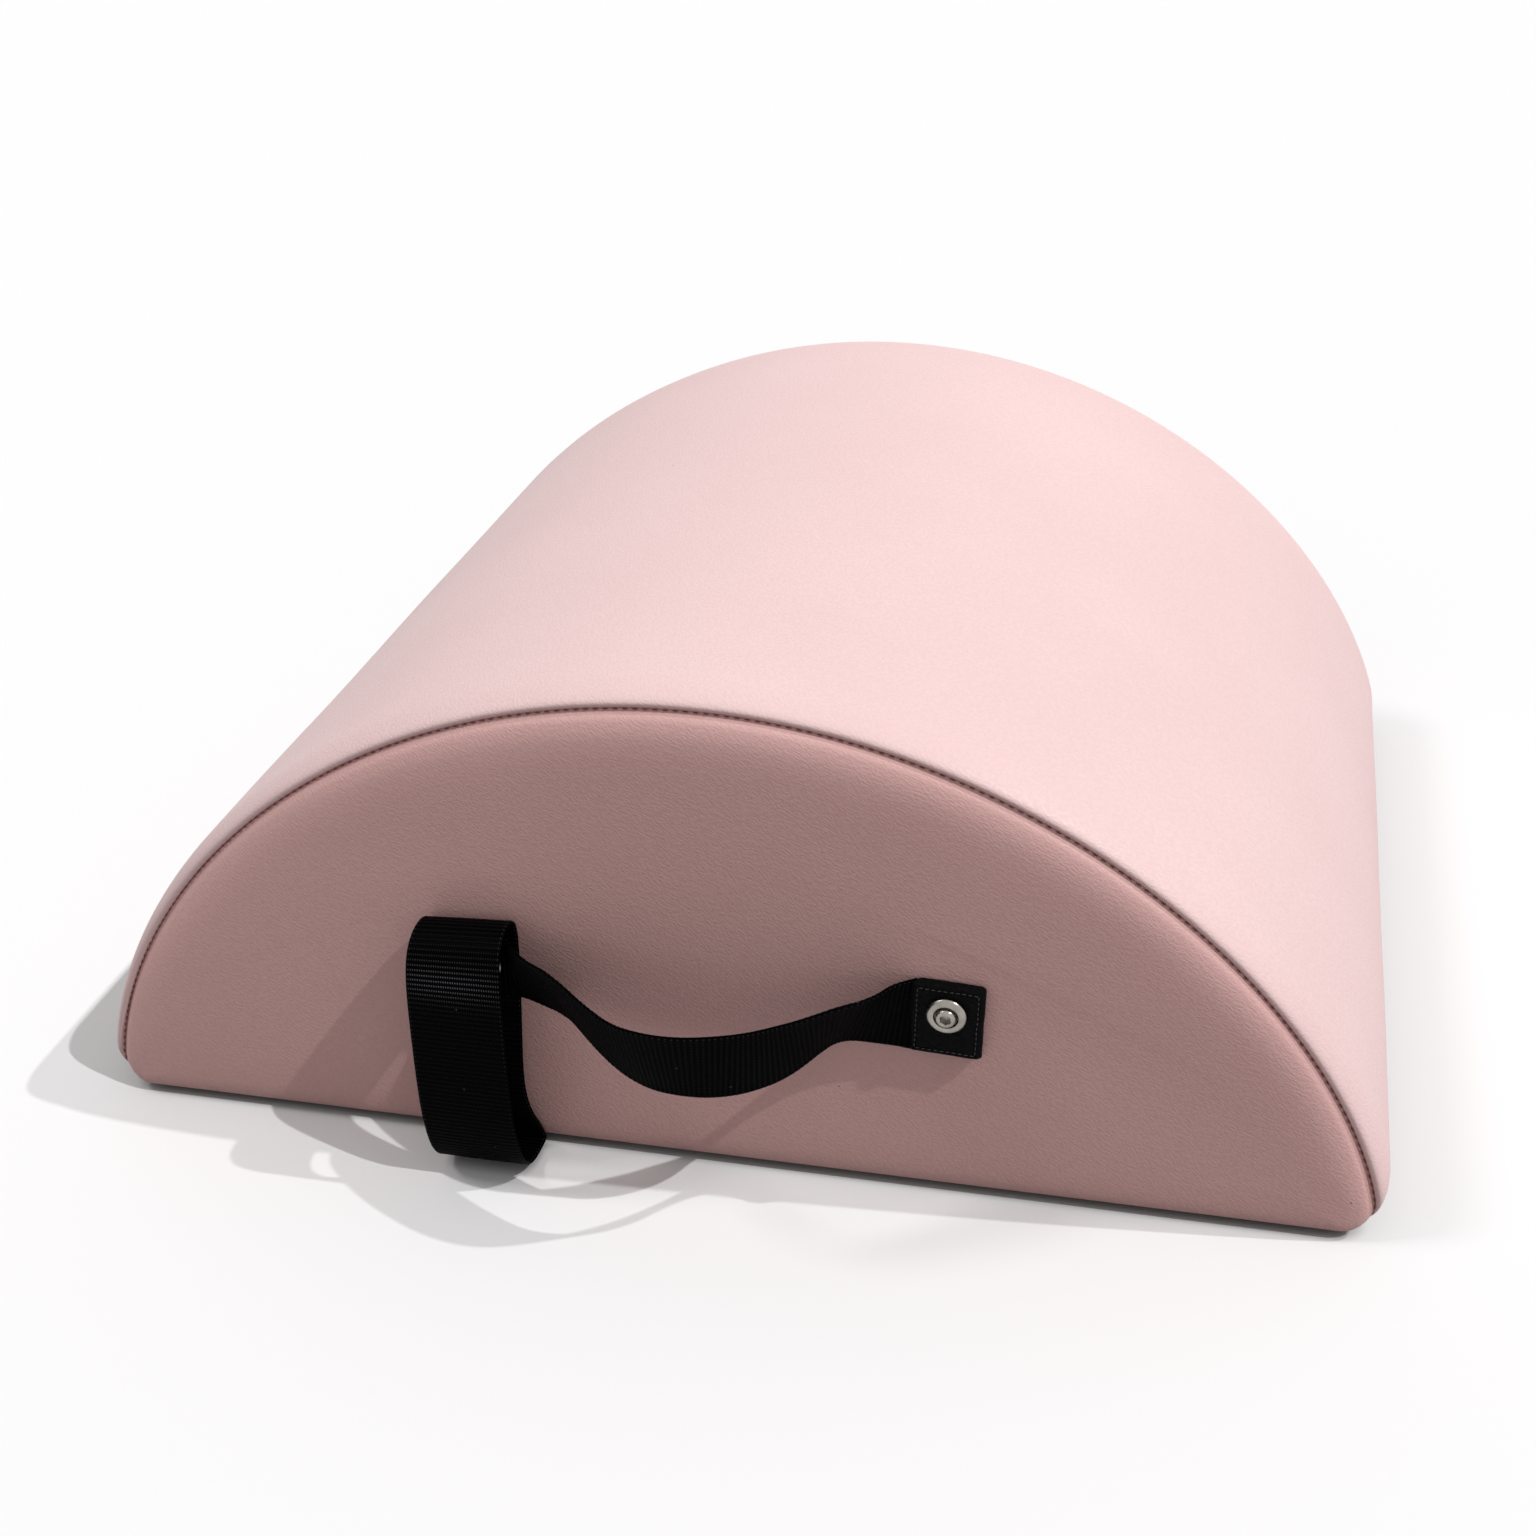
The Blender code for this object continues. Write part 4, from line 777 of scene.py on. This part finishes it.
def bow_point(share):
    """Centre of the free webbing, its lean and its width, at a share of the way from left to right"""
    out = LEFT_FRONT_OUT + (RIGHT_FRONT_OUT - LEFT_FRONT_OUT) * share
    out += BOW_REACH * math.sin(math.pi * share ** BOW_REACH_SKEW) ** BOW_REACH_POWER
    x = LEFT_TAB_INNER_X + (RIGHT_TAB_INNER_X - LEFT_TAB_INNER_X) * share
    z = left_tab_z(x) + (right_tab_z(RIGHT_TAB_INNER_X) - left_tab_z(x)) * share
    z -= BOW_SAG * math.sin(math.pi * share) ** 2
    from_middle = (2 * share - 1) ** 2
    lean = math.radians((BOW_LEAN + BOW_END_LEAN * from_middle) * (1 - from_middle ** BOW_LEAN_POWER))
    extra_lean, lift = bow_twist(share)
    width = HANDLE_LEFT_WEB_W + (HANDLE_WEB_W - HANDLE_LEFT_WEB_W) * eased(share / BOW_WIDE_FROM)
    width += (HANDLE_TAB_WEB_W - HANDLE_WEB_W) * eased((share - BOW_WIDE_TO) / (1 - BOW_WIDE_TO))
    return Vector((x, FACE_Y - out, z + lift)), lean + math.radians(extra_lean), width


def fold_points(inner_x, outer_x, front_out, back_out, width, middle_z):
    """The same for a flat end folded back behind itself"""
    radius = (front_out - back_out) / 2
    away = math.copysign(1.0, outer_x - inner_x)
    points = []
    for step in range(FOLD_STEPS + 1):
        bend = math.pi * step / FOLD_STEPS
        x = outer_x - away * radius * (1 - math.sin(bend))
        points.append((Vector((x, FACE_Y - back_out - radius * (1 + math.cos(bend)), middle_z(x))), 0.0, width))
    points.append((Vector((inner_x, FACE_Y - back_out, middle_z(inner_x))), 0.0, width))
    return points


def handle_stations(points):
    """Centres and half widths along the handle's webbing"""
    stations = []
    for i, (centre, lean, width) in enumerate(points):
        along = (points[min(i + 1, len(points) - 1)][0] - points[max(i - 1, 0)][0]).normalized()
        across = Vector((0.0, -math.sin(lean), math.cos(lean)))
        across = (across - along * across.dot(along)).normalized()
        stations.append((centre, across * width / 2))
    return stations


bow = [bow_point(step / BOW_STEPS) for step in range(BOW_STEPS + 1)]
left_fold = fold_points(LEFT_TAB_INNER_X, LEFT_TAB_OUTER_X, LEFT_FRONT_OUT, LEFT_BACK_OUT, HANDLE_LEFT_WEB_W,
                        left_tab_z)[::-1]
right_fold = fold_points(RIGHT_TAB_INNER_X, RIGHT_TAB_OUTER_X, RIGHT_FRONT_OUT, RIGHT_BACK_OUT, HANDLE_TAB_WEB_W,
                         right_tab_z)
stations = handle_stations(left_fold + bow + right_fold)
left_split, right_split = (len(left_fold) + next(i for i, (centre, _, _) in enumerate(bow) if centre.x > split_x)
                           for split_x in (BOW_SPLIT_LEFT_X, BOW_SPLIT_RIGHT_X))
so_far = 0.0
for stretch_name, stretch, stood_for, blend_x in (
        ("handle_left_webbing", stations[:left_split + 1], "handle_left_end",
         (LEFT_TAB_INNER_X, BOW_SPLIT_LEFT_X - BLEND_PAST_SPLIT)),
        ("handle_bow_webbing", stations[left_split:right_split + 1], "handle_strap", None),
        ("handle_right_webbing", stations[right_split:], "handle_right_end",
         (RIGHT_TAB_INNER_X, BOW_SPLIT_RIGHT_X + BLEND_PAST_SPLIT))):
    bm = webbing_along(stretch, False, start_along=so_far)
    so_far += sum((end[0] - start[0]).length for start, end in zip(stretch, stretch[1:]))
    made = add_piece(stretch_name, bm, webbing, None if blend_x else "handle_bow", 70)
    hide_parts(stood_for)
    if blend_x:
        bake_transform(made)


# Sewn patch: a cap of plain black cloth over the handle's right end. It wraps the fold's edges, is stitched round
# its border and lies under the right washer.
PATCH_LEFT_X, PATCH_RIGHT_X = 0.0985, 0.1295
PATCH_HALF_W = 0.0181
PATCH_CORNER_R, PATCH_LEAST_R = 0.0024, 0.0003
PATCH_BACK_OUT = 0.0004
PATCH_INNER_OUT = 0.0040
PATCH_FRONT_OUT = 0.0046
# The patch is open on its left, where the strap comes out: how far in, the length over which its side walls
# begin, and the gap that keeps the open edge off the inner face
PATCH_OPEN_REACH, PATCH_OPEN_FADE, PATCH_OPEN_GAP = 0.0032, 0.0026, 0.0001
PATCH_WANDER, PATCH_WANDER_SCALE = 0.00025, 160
PATCH_ARC_STEPS, PATCH_SIDE_STEPS = 6, 22
PATCH_STITCH_PITCH = 0.0026
PATCH_STITCH_HALF, PATCH_STITCH_R = 0.0010, 0.00028
PATCH_STITCH_INSET, PATCH_STITCH_RAISE = 0.0025, 0.0001
# Inset from the patch's outline, distance out from the panel; None is the foot of its side walls
PATCH_SIDES = (
    (0.0120, PATCH_INNER_OUT), (0.0008, PATCH_INNER_OUT), (0.0007, None), (0.0, None), (0.0, 0.0030),
    (0.0003, 0.0039), (0.0008, 0.0044), (0.0018, PATCH_FRONT_OUT + 0.0002), (0.0026, 0.0043),
    (0.0034, PATCH_FRONT_OUT + 0.0001), (0.0060, PATCH_FRONT_OUT), (0.0120, PATCH_FRONT_OUT),
)

fuzz, given, result = shader_group("felted_fuzz", {"Scale": 500.0}, "Height")
strands = add_node(fuzz, "TexNoise", {"Vector": object_place(fuzz), "Scale": given["Scale"], "Detail": 6.0,
                                      "Distortion": 1.2})
feed(fuzz, result, {"Height": strands.outputs["Fac"]})

patch_cloth, tree, shader = new_finish("black_patch_finish")
felt = place_group(tree, fuzz, Scale=900.0)["Height"]
lint = place_group(tree, specks, Spacing=180.0, Size=0.07)["Mask"]
tone = mixed(tree, mapped(tree, felt, 0.35, 0.75), (0.0006, 0.0006, 0.0007), (0.0060, 0.0060, 0.0068))
feed(tree, shader, {"Base Color": mixed(tree, lint, tone, (0.05, 0.05, 0.055)),
                    "Roughness": mapped(tree, felt, 0.3, 0.7, 0.75, 0.45), "Specular IOR Level": 0.04})
bumped(tree, shader, felt, 0.0004)


def patch_point(x, across, out):
    """A place on the patch in the tab's own tilted directions"""
    tilt_x, tilt_z = math.cos(RIGHT_TAB_TILT), -math.sin(RIGHT_TAB_TILT)
    along = x - RIGHT_ANCHOR[0]
    return Vector((RIGHT_ANCHOR[0] + along * tilt_x - across * tilt_z, FACE_Y - out,
                   right_tab_z(RIGHT_ANCHOR[0]) + along * tilt_z + across * tilt_x))


def patch_loop(inset, out):
    """The patch's rounded outline drawn in by an inset"""
    half_x, half_z = (PATCH_RIGHT_X - PATCH_LEFT_X) / 2 - inset, PATCH_HALF_W - inset
    radius = max(PATCH_CORNER_R - inset, PATCH_LEAST_R)
    middle_x = (PATCH_LEFT_X + PATCH_RIGHT_X) / 2
    points = []
    for quarter, (side_x, side_z) in enumerate(((1, 1), (-1, 1), (-1, -1), (1, -1))):
        for step in range(PATCH_ARC_STEPS + 1):
            bend = (quarter + step / PATCH_ARC_STEPS) * math.pi / 2
            points.append((side_x * (half_x - radius) + radius * math.cos(bend),
                           side_z * (half_z - radius) + radius * math.sin(bend)))
    finer = []
    for i, ((x0, z0), (x1, z1)) in enumerate(zip(points, points[1:] + points[:1])):
        pieces = PATCH_SIDE_STEPS if i % (PATCH_ARC_STEPS + 1) == PATCH_ARC_STEPS else 1
        finer += [(x0 + (x1 - x0) * k / pieces, z0 + (z1 - z0) * k / pieces) for k in range(pieces)]
    loop = []
    for x, across in finer:
        open_side = clamped((PATCH_OPEN_REACH + inset - (x + half_x)) / PATCH_OPEN_FADE)
        foot = PATCH_BACK_OUT + (PATCH_INNER_OUT - PATCH_OPEN_GAP - PATCH_BACK_OUT) * open_side
        wander = PATCH_WANDER * noise.noise((x * PATCH_WANDER_SCALE, across * PATCH_WANDER_SCALE, 2.0))
        loop.append(patch_point(middle_x + x + wander, across + wander, foot if out is None else out))
    return loop


bm = bmesh.new()
rows = drawn_through(bm, [patch_loop(inset, out) for inset, out in PATCH_SIDES], True)
bm.faces.new(rows[0])
bm.faces.new(rows[-1][::-1])
bmesh.ops.recalc_face_normals(bm, faces=bm.faces)
add_piece("handle_patch", bm, patch_cloth, "padded_body", 60)

black_thread = thread_finish("black_patch_thread", (0.003, 0.003, 0.004), (0.013, 0.014, 0.017))
patch_line = patch_loop(PATCH_STITCH_INSET, PATCH_FRONT_OUT + PATCH_STITCH_RAISE)
bm = stitches(patch_line + patch_line[:1], PATCH_STITCH_PITCH, PATCH_STITCH_HALF, PATCH_STITCH_R)
add_piece("handle_patch_stitches", bm, black_thread, "padded_body")


# Anchors: at each end of the handle a dished nickel washer and a socket head screw, which goes through the webbing
# and the panel into a tee nut behind the front former
SCREW_HEAD_R = 0.0044
SCREW_HEAD_T = 0.0026
SOCKET_R = 0.0025
SOCKET_DEPTH = 0.0022
SOCKET_RIM_DROP = 0.0002
WASHER_FLOOR_T = 0.0012
PLY_FRONT_GAP = 0.0003
# Radius and height of each turned outline
WASHER_PROFILE = (
    (0.0034, 0.0), (0.0034, 0.0012), (0.0049, 0.0012), (0.0051, 0.0014), (0.0052, 0.0022), (0.0054, 0.00255),
    (0.0058, 0.0027), (0.0065, 0.00265), (0.0074, 0.0024), (0.0081, 0.0019), (0.0085, 0.0014), (0.0087, 0.0010),
    (0.0086, 0.0005), (0.0081, 0.0002), (0.0073, 0.0),
)
SCREW_PROFILE = (
    (SOCKET_R * 1.02, SCREW_HEAD_T), (SCREW_HEAD_R * 0.66, SCREW_HEAD_T), (SCREW_HEAD_R * 0.84, SCREW_HEAD_T * 0.92),
    (SCREW_HEAD_R * 0.95, SCREW_HEAD_T * 0.74), (SCREW_HEAD_R, SCREW_HEAD_T * 0.48), (SCREW_HEAD_R, 0.0001),
    (SCREW_HEAD_R - 0.0001, 0.0), (0.0030, 0.0), (0.0030, -0.0290), (0.0024, -0.0298), (0.0, -0.0300),
)
TURN_STEPS = 72

scratches, given, result = shader_group("fine_scratches", {"Scale": 900.0}, "Height", "Wear")
place = object_place(scratches)
drawn = add_node(scratches, "Mapping", {"Vector": place, "Scale": (1.0, 1.0, 0.12)})
lines = add_node(scratches, "TexNoise", {"Vector": drawn.outputs["Vector"], "Scale": given["Scale"], "Detail": 4.0})
patches = add_node(scratches, "TexNoise", {"Vector": place, "Scale": 160.0, "Detail": 3.0})
feed(scratches, result, {"Height": lines.outputs["Fac"], "Wear": patches.outputs["Fac"]})


def plated_finish(name, dull, bright, rough_low, rough_high, scale):
    """Plated steel with drawn scratches and patches of wear"""
    made, tree, shader = new_finish(name)
    marks = place_group(tree, scratches, Scale=scale)
    feed(tree, shader, {
        "Base Color": mixed(tree, mapped(tree, marks["Wear"], 0.35, 0.65), dull, bright),
        "Roughness": mapped(tree, marks["Height"], 0.3, 0.7, rough_low, rough_high), "Metallic": 1.0})
    bumped(tree, shader, marks["Height"], 0.00002, 0.5)
    return made


nickel = plated_finish("brushed_nickel_finish", (0.25, 0.235, 0.21), (0.35, 0.33, 0.30), 0.20, 0.36, 900.0)


def turned(profile, ring):
    """A profile of (radius, height) spun round an axis; that of a ring is closed"""
    bm = bmesh.new()
    verts = [bm.verts.new((radius, 0.0, height)) for radius, height in profile]
    line = [bm.edges.new(pair) for pair in zip(verts, verts[1:])]
    if ring:
        line.append(bm.edges.new((verts[-1], verts[0])))
    bmesh.ops.spin(bm, geom=verts + line, cent=(0, 0, 0), axis=(0, 0, 1), angle=2 * math.pi, steps=TURN_STEPS,
                   use_merge=True)
    bmesh.ops.remove_doubles(bm, verts=bm.verts, dist=1e-7)
    return bm


def to_face(bm, x, out, z):
    """Turn a bmesh that points up so that it points out from the strap end, and place it there"""
    bmesh.ops.rotate(bm, matrix=Matrix.Rotation(math.pi / 2, 3, "X"), verts=bm.verts)
    bmesh.ops.translate(bm, vec=(x, FACE_Y - out, z), verts=bm.verts)
    bmesh.ops.recalc_face_normals(bm, faces=bm.faces)


for side, (anchor_x, anchor_z), washer_out in (
        ("left", LEFT_ANCHOR, LEFT_FRONT_OUT + WEB_T / 2 + PLY_FRONT_GAP),
        ("right", RIGHT_ANCHOR, PATCH_FRONT_OUT + PLY_FRONT_GAP)):
    bm = turned(WASHER_PROFILE, True)
    to_face(bm, anchor_x, washer_out, anchor_z)
    washer = add_piece(side + "_washer", bm, nickel, "padded_body", 50)
    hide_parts(side + "_cup_washer")

    bm = turned(SCREW_PROFILE, False)
    rim = [edge for edge in bm.edges if len(edge.link_faces) == 1]
    socket = bmesh.ops.create_circle(bm, segments=6, radius=SOCKET_R)["verts"]
    bmesh.ops.translate(bm, vec=(0.0, 0.0, SCREW_HEAD_T - SOCKET_RIM_DROP), verts=socket)
    socket_rim = list({edge for vert in socket for edge in vert.link_edges})
    bmesh.ops.bridge_loops(bm, edges=rim + socket_rim)
    made = bmesh.ops.extrude_edge_only(bm, edges=socket_rim)["geom"]
    floor_verts = [item for item in made if isinstance(item, bmesh.types.BMVert)]
    bmesh.ops.translate(bm, vec=(0.0, 0.0, -SOCKET_DEPTH), verts=floor_verts)
    bmesh.ops.contextual_create(bm, geom=floor_verts)
    to_face(bm, anchor_x, washer_out + WASHER_FLOOR_T + PLY_FRONT_GAP, anchor_z)
    screw = add_piece(side + "_socket_screw", bm, nickel, "padded_body", 35)
    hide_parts(side + "_anchor_screw")


# Fixings out of sight: the wood screws of the frame and the feet, and the tee nuts that take the anchor screws.
# They are zinc plated steel, left as they come.
def refinish(finish, slot, *node_names):
    """Give CAD nodes that stay as they are a better material"""
    for node_name in node_names:
        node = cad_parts[node_name]
        node.data.materials.clear()
        node.data.materials.append(finish)


zinc = plated_finish("zinc_plate_finish", (0.50, 0.52, 0.55), (0.68, 0.70, 0.72), 0.30, 0.46, 700.0)
refinish(zinc, "zinc_plated_steel", *[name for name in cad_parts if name.endswith(
    ("tee_nut", "former_left_screw", "former_right_screw", "foot_screw"))])


# Staples: fine zinc plated wire, shot through the hems into the base board all the way round. Each lies a little
# askew, flat against the leatherette.
STAPLE_PITCH = 0.028
STAPLE_CROWN = 0.010
STAPLE_WIRE = 0.0007
STAPLE_FLATNESS = 1.7
STAPLE_BEVEL = 0.3
STAPLE_EDGE = 0.007
STAPLE_SLANT, STAPLE_SLANT_SCALE = 0.25, 40
SIDE_RUN_HALF = 0.215
END_RUN_SHORTER = 0.004
# Share of the hem's drop that the staples along the ends follow
END_DIP_SHARE = 0.25

staple_runs = []
for side in (-1, 1):
    side_x = side * (HEM_X + STAPLE_EDGE)
    staple_runs.append((Vector((side_x, -SIDE_RUN_HALF, 0)), Vector((side_x, SIDE_RUN_HALF, 0))))
    hem_y = side * (-CORE_Y - HEM + END_HEM_SHORTER + STAPLE_EDGE)
    staple_runs.append((Vector((-HEM_X + END_RUN_SHORTER, hem_y, 0)), Vector((HEM_X - END_RUN_SHORTER, hem_y, 0))))
bm = bmesh.new()
for start, end in staple_runs:
    for place, along in even_places([start, end], STAPLE_PITCH):
        made = bmesh.ops.create_cube(bm, size=1.0)["verts"]
        bmesh.ops.scale(bm, vec=(STAPLE_CROWN, STAPLE_WIRE * STAPLE_FLATNESS, STAPLE_WIRE), verts=made)
        edges = list({edge for vert in made for edge in vert.link_edges})
        bevelled = bmesh.ops.bevel(bm, geom=edges, offset=STAPLE_WIRE * STAPLE_BEVEL, segments=1, affect="EDGES",
                                   profile=0.5, material=-1)["verts"]
        slant = STAPLE_SLANT * noise.noise((place.x * STAPLE_SLANT_SCALE, place.y * STAPLE_SLANT_SCALE, 9.0))
        turn = Matrix.Rotation(math.atan2(along.y, along.x) + slant, 3, "Z")
        bmesh.ops.rotate(bm, matrix=turn, verts=bevelled)
        dip = (COVER_BOTTOM - FOOT_Z) * (STAPLE_EDGE / HEM) * (1.0 if along.y > 0.5 else END_DIP_SHARE)
        lower = COVER_BOTTOM - dip - STAPLE_WIRE * STAPLE_BEVEL
        bmesh.ops.translate(bm, vec=(place.x, BODY_Y + place.y, lower), verts=bevelled)
add_piece("hem_staples", bm, zinc, "padded_body", 30)


# Frame: birch plywood board, formers and bent skin, and three pine battens let into the formers. All of it is
# sanded and left bare under the foam.
wood, given, result = shader_group("wood_grain", {"Stretch": 26.0, "Wander": 0.6}, "Grain", "Pore")
lengthways = add_node(wood, "Mapping", {"Vector": object_place(wood), "Scale": (1.0, 0.06, 1.0)}).outputs["Vector"]
rings = add_node(wood, "TexNoise", {"Vector": lengthways, "Scale": given["Stretch"], "Detail": 5.0,
                                    "Distortion": given["Wander"]})
pores = add_node(wood, "TexNoise", {"Vector": lengthways, "Scale": 900.0})
feed(wood, result, {"Grain": rings.outputs["Fac"], "Pore": pores.outputs["Fac"]})


def bare_wood_finish(name, light, dark, stretch, wander):
    """Sanded bare wood"""
    made, tree, shader = new_finish(name)
    marks = place_group(tree, wood, Stretch=stretch, Wander=wander)
    feed(tree, shader, {"Base Color": mixed(tree, mapped(tree, marks["Grain"], 0.35, 0.65), light, dark),
                        "Roughness": mapped(tree, marks["Pore"], 0.3, 0.7, 0.62, 0.78)})
    bumped(tree, shader, marks["Pore"], 0.0001, 0.5)
    return made


plywood = bare_wood_finish("birch_plywood_finish", (0.74, 0.57, 0.37), (0.58, 0.40, 0.23), 26.0, 0.5)
pine = bare_wood_finish("pine_finish", (0.79, 0.62, 0.40), (0.66, 0.44, 0.23), 60.0, 1.4)
refinish(plywood, "birch_plywood", "base_board", "front_former", "middle_former", "rear_former", "arched_skin")
refinish(pine, "pine_batten", "ridge_stringer", "left_stringer", "right_stringer")


# Dust cover: black non-woven cloth, pressed with a grid of fine dimples. It lies under the base board, cut short of
# the hems, and the feet hold it.
non_woven, tree, shader = new_finish("black_non_woven_finish")
press = add_node(tree, "TexVoronoi", {"Vector": object_place(tree), "Scale": 420.0, "Randomness": 0.1})
dimple = mapped(tree, press.outputs["Distance"], 0.1, 0.3)
cloth = worked(tree, "ADD", dimple, place_group(tree, fuzz, Scale=420.0)["Height"])
tone = mixed(tree, mapped(tree, cloth, 0.3, 1.5), (0.012, 0.012, 0.013), (0.034, 0.034, 0.036))
feed(tree, shader, {"Base Color": tone, "Roughness": 0.92})
bumped(tree, shader, cloth, 0.00025)
refinish(non_woven, "black_non_woven", "dust_cover")


# Feet: moulded black rubber discs under the four corners, each held to the base board by one wood screw through
# its middle
rubber, tree, shader = new_finish("black_rubber_finish")
cast = place_group(tree, fuzz, Scale=260.0)["Height"]
lint = place_group(tree, specks, Spacing=160.0, Size=0.10)["Mask"]
tone = mixed(tree, mapped(tree, cast, 0.3, 0.7), (0.014, 0.014, 0.014), (0.030, 0.029, 0.028))
feed(tree, shader, {"Base Color": mixed(tree, lint, tone, (0.16, 0.15, 0.14)),
                    "Roughness": mapped(tree, cast, 0.3, 0.7, 0.70, 0.86)})
bumped(tree, shader, cast, 0.00015)
refinish(rubber, "black_rubber", "front_left_foot", "front_right_foot", "rear_left_foot", "rear_right_foot")
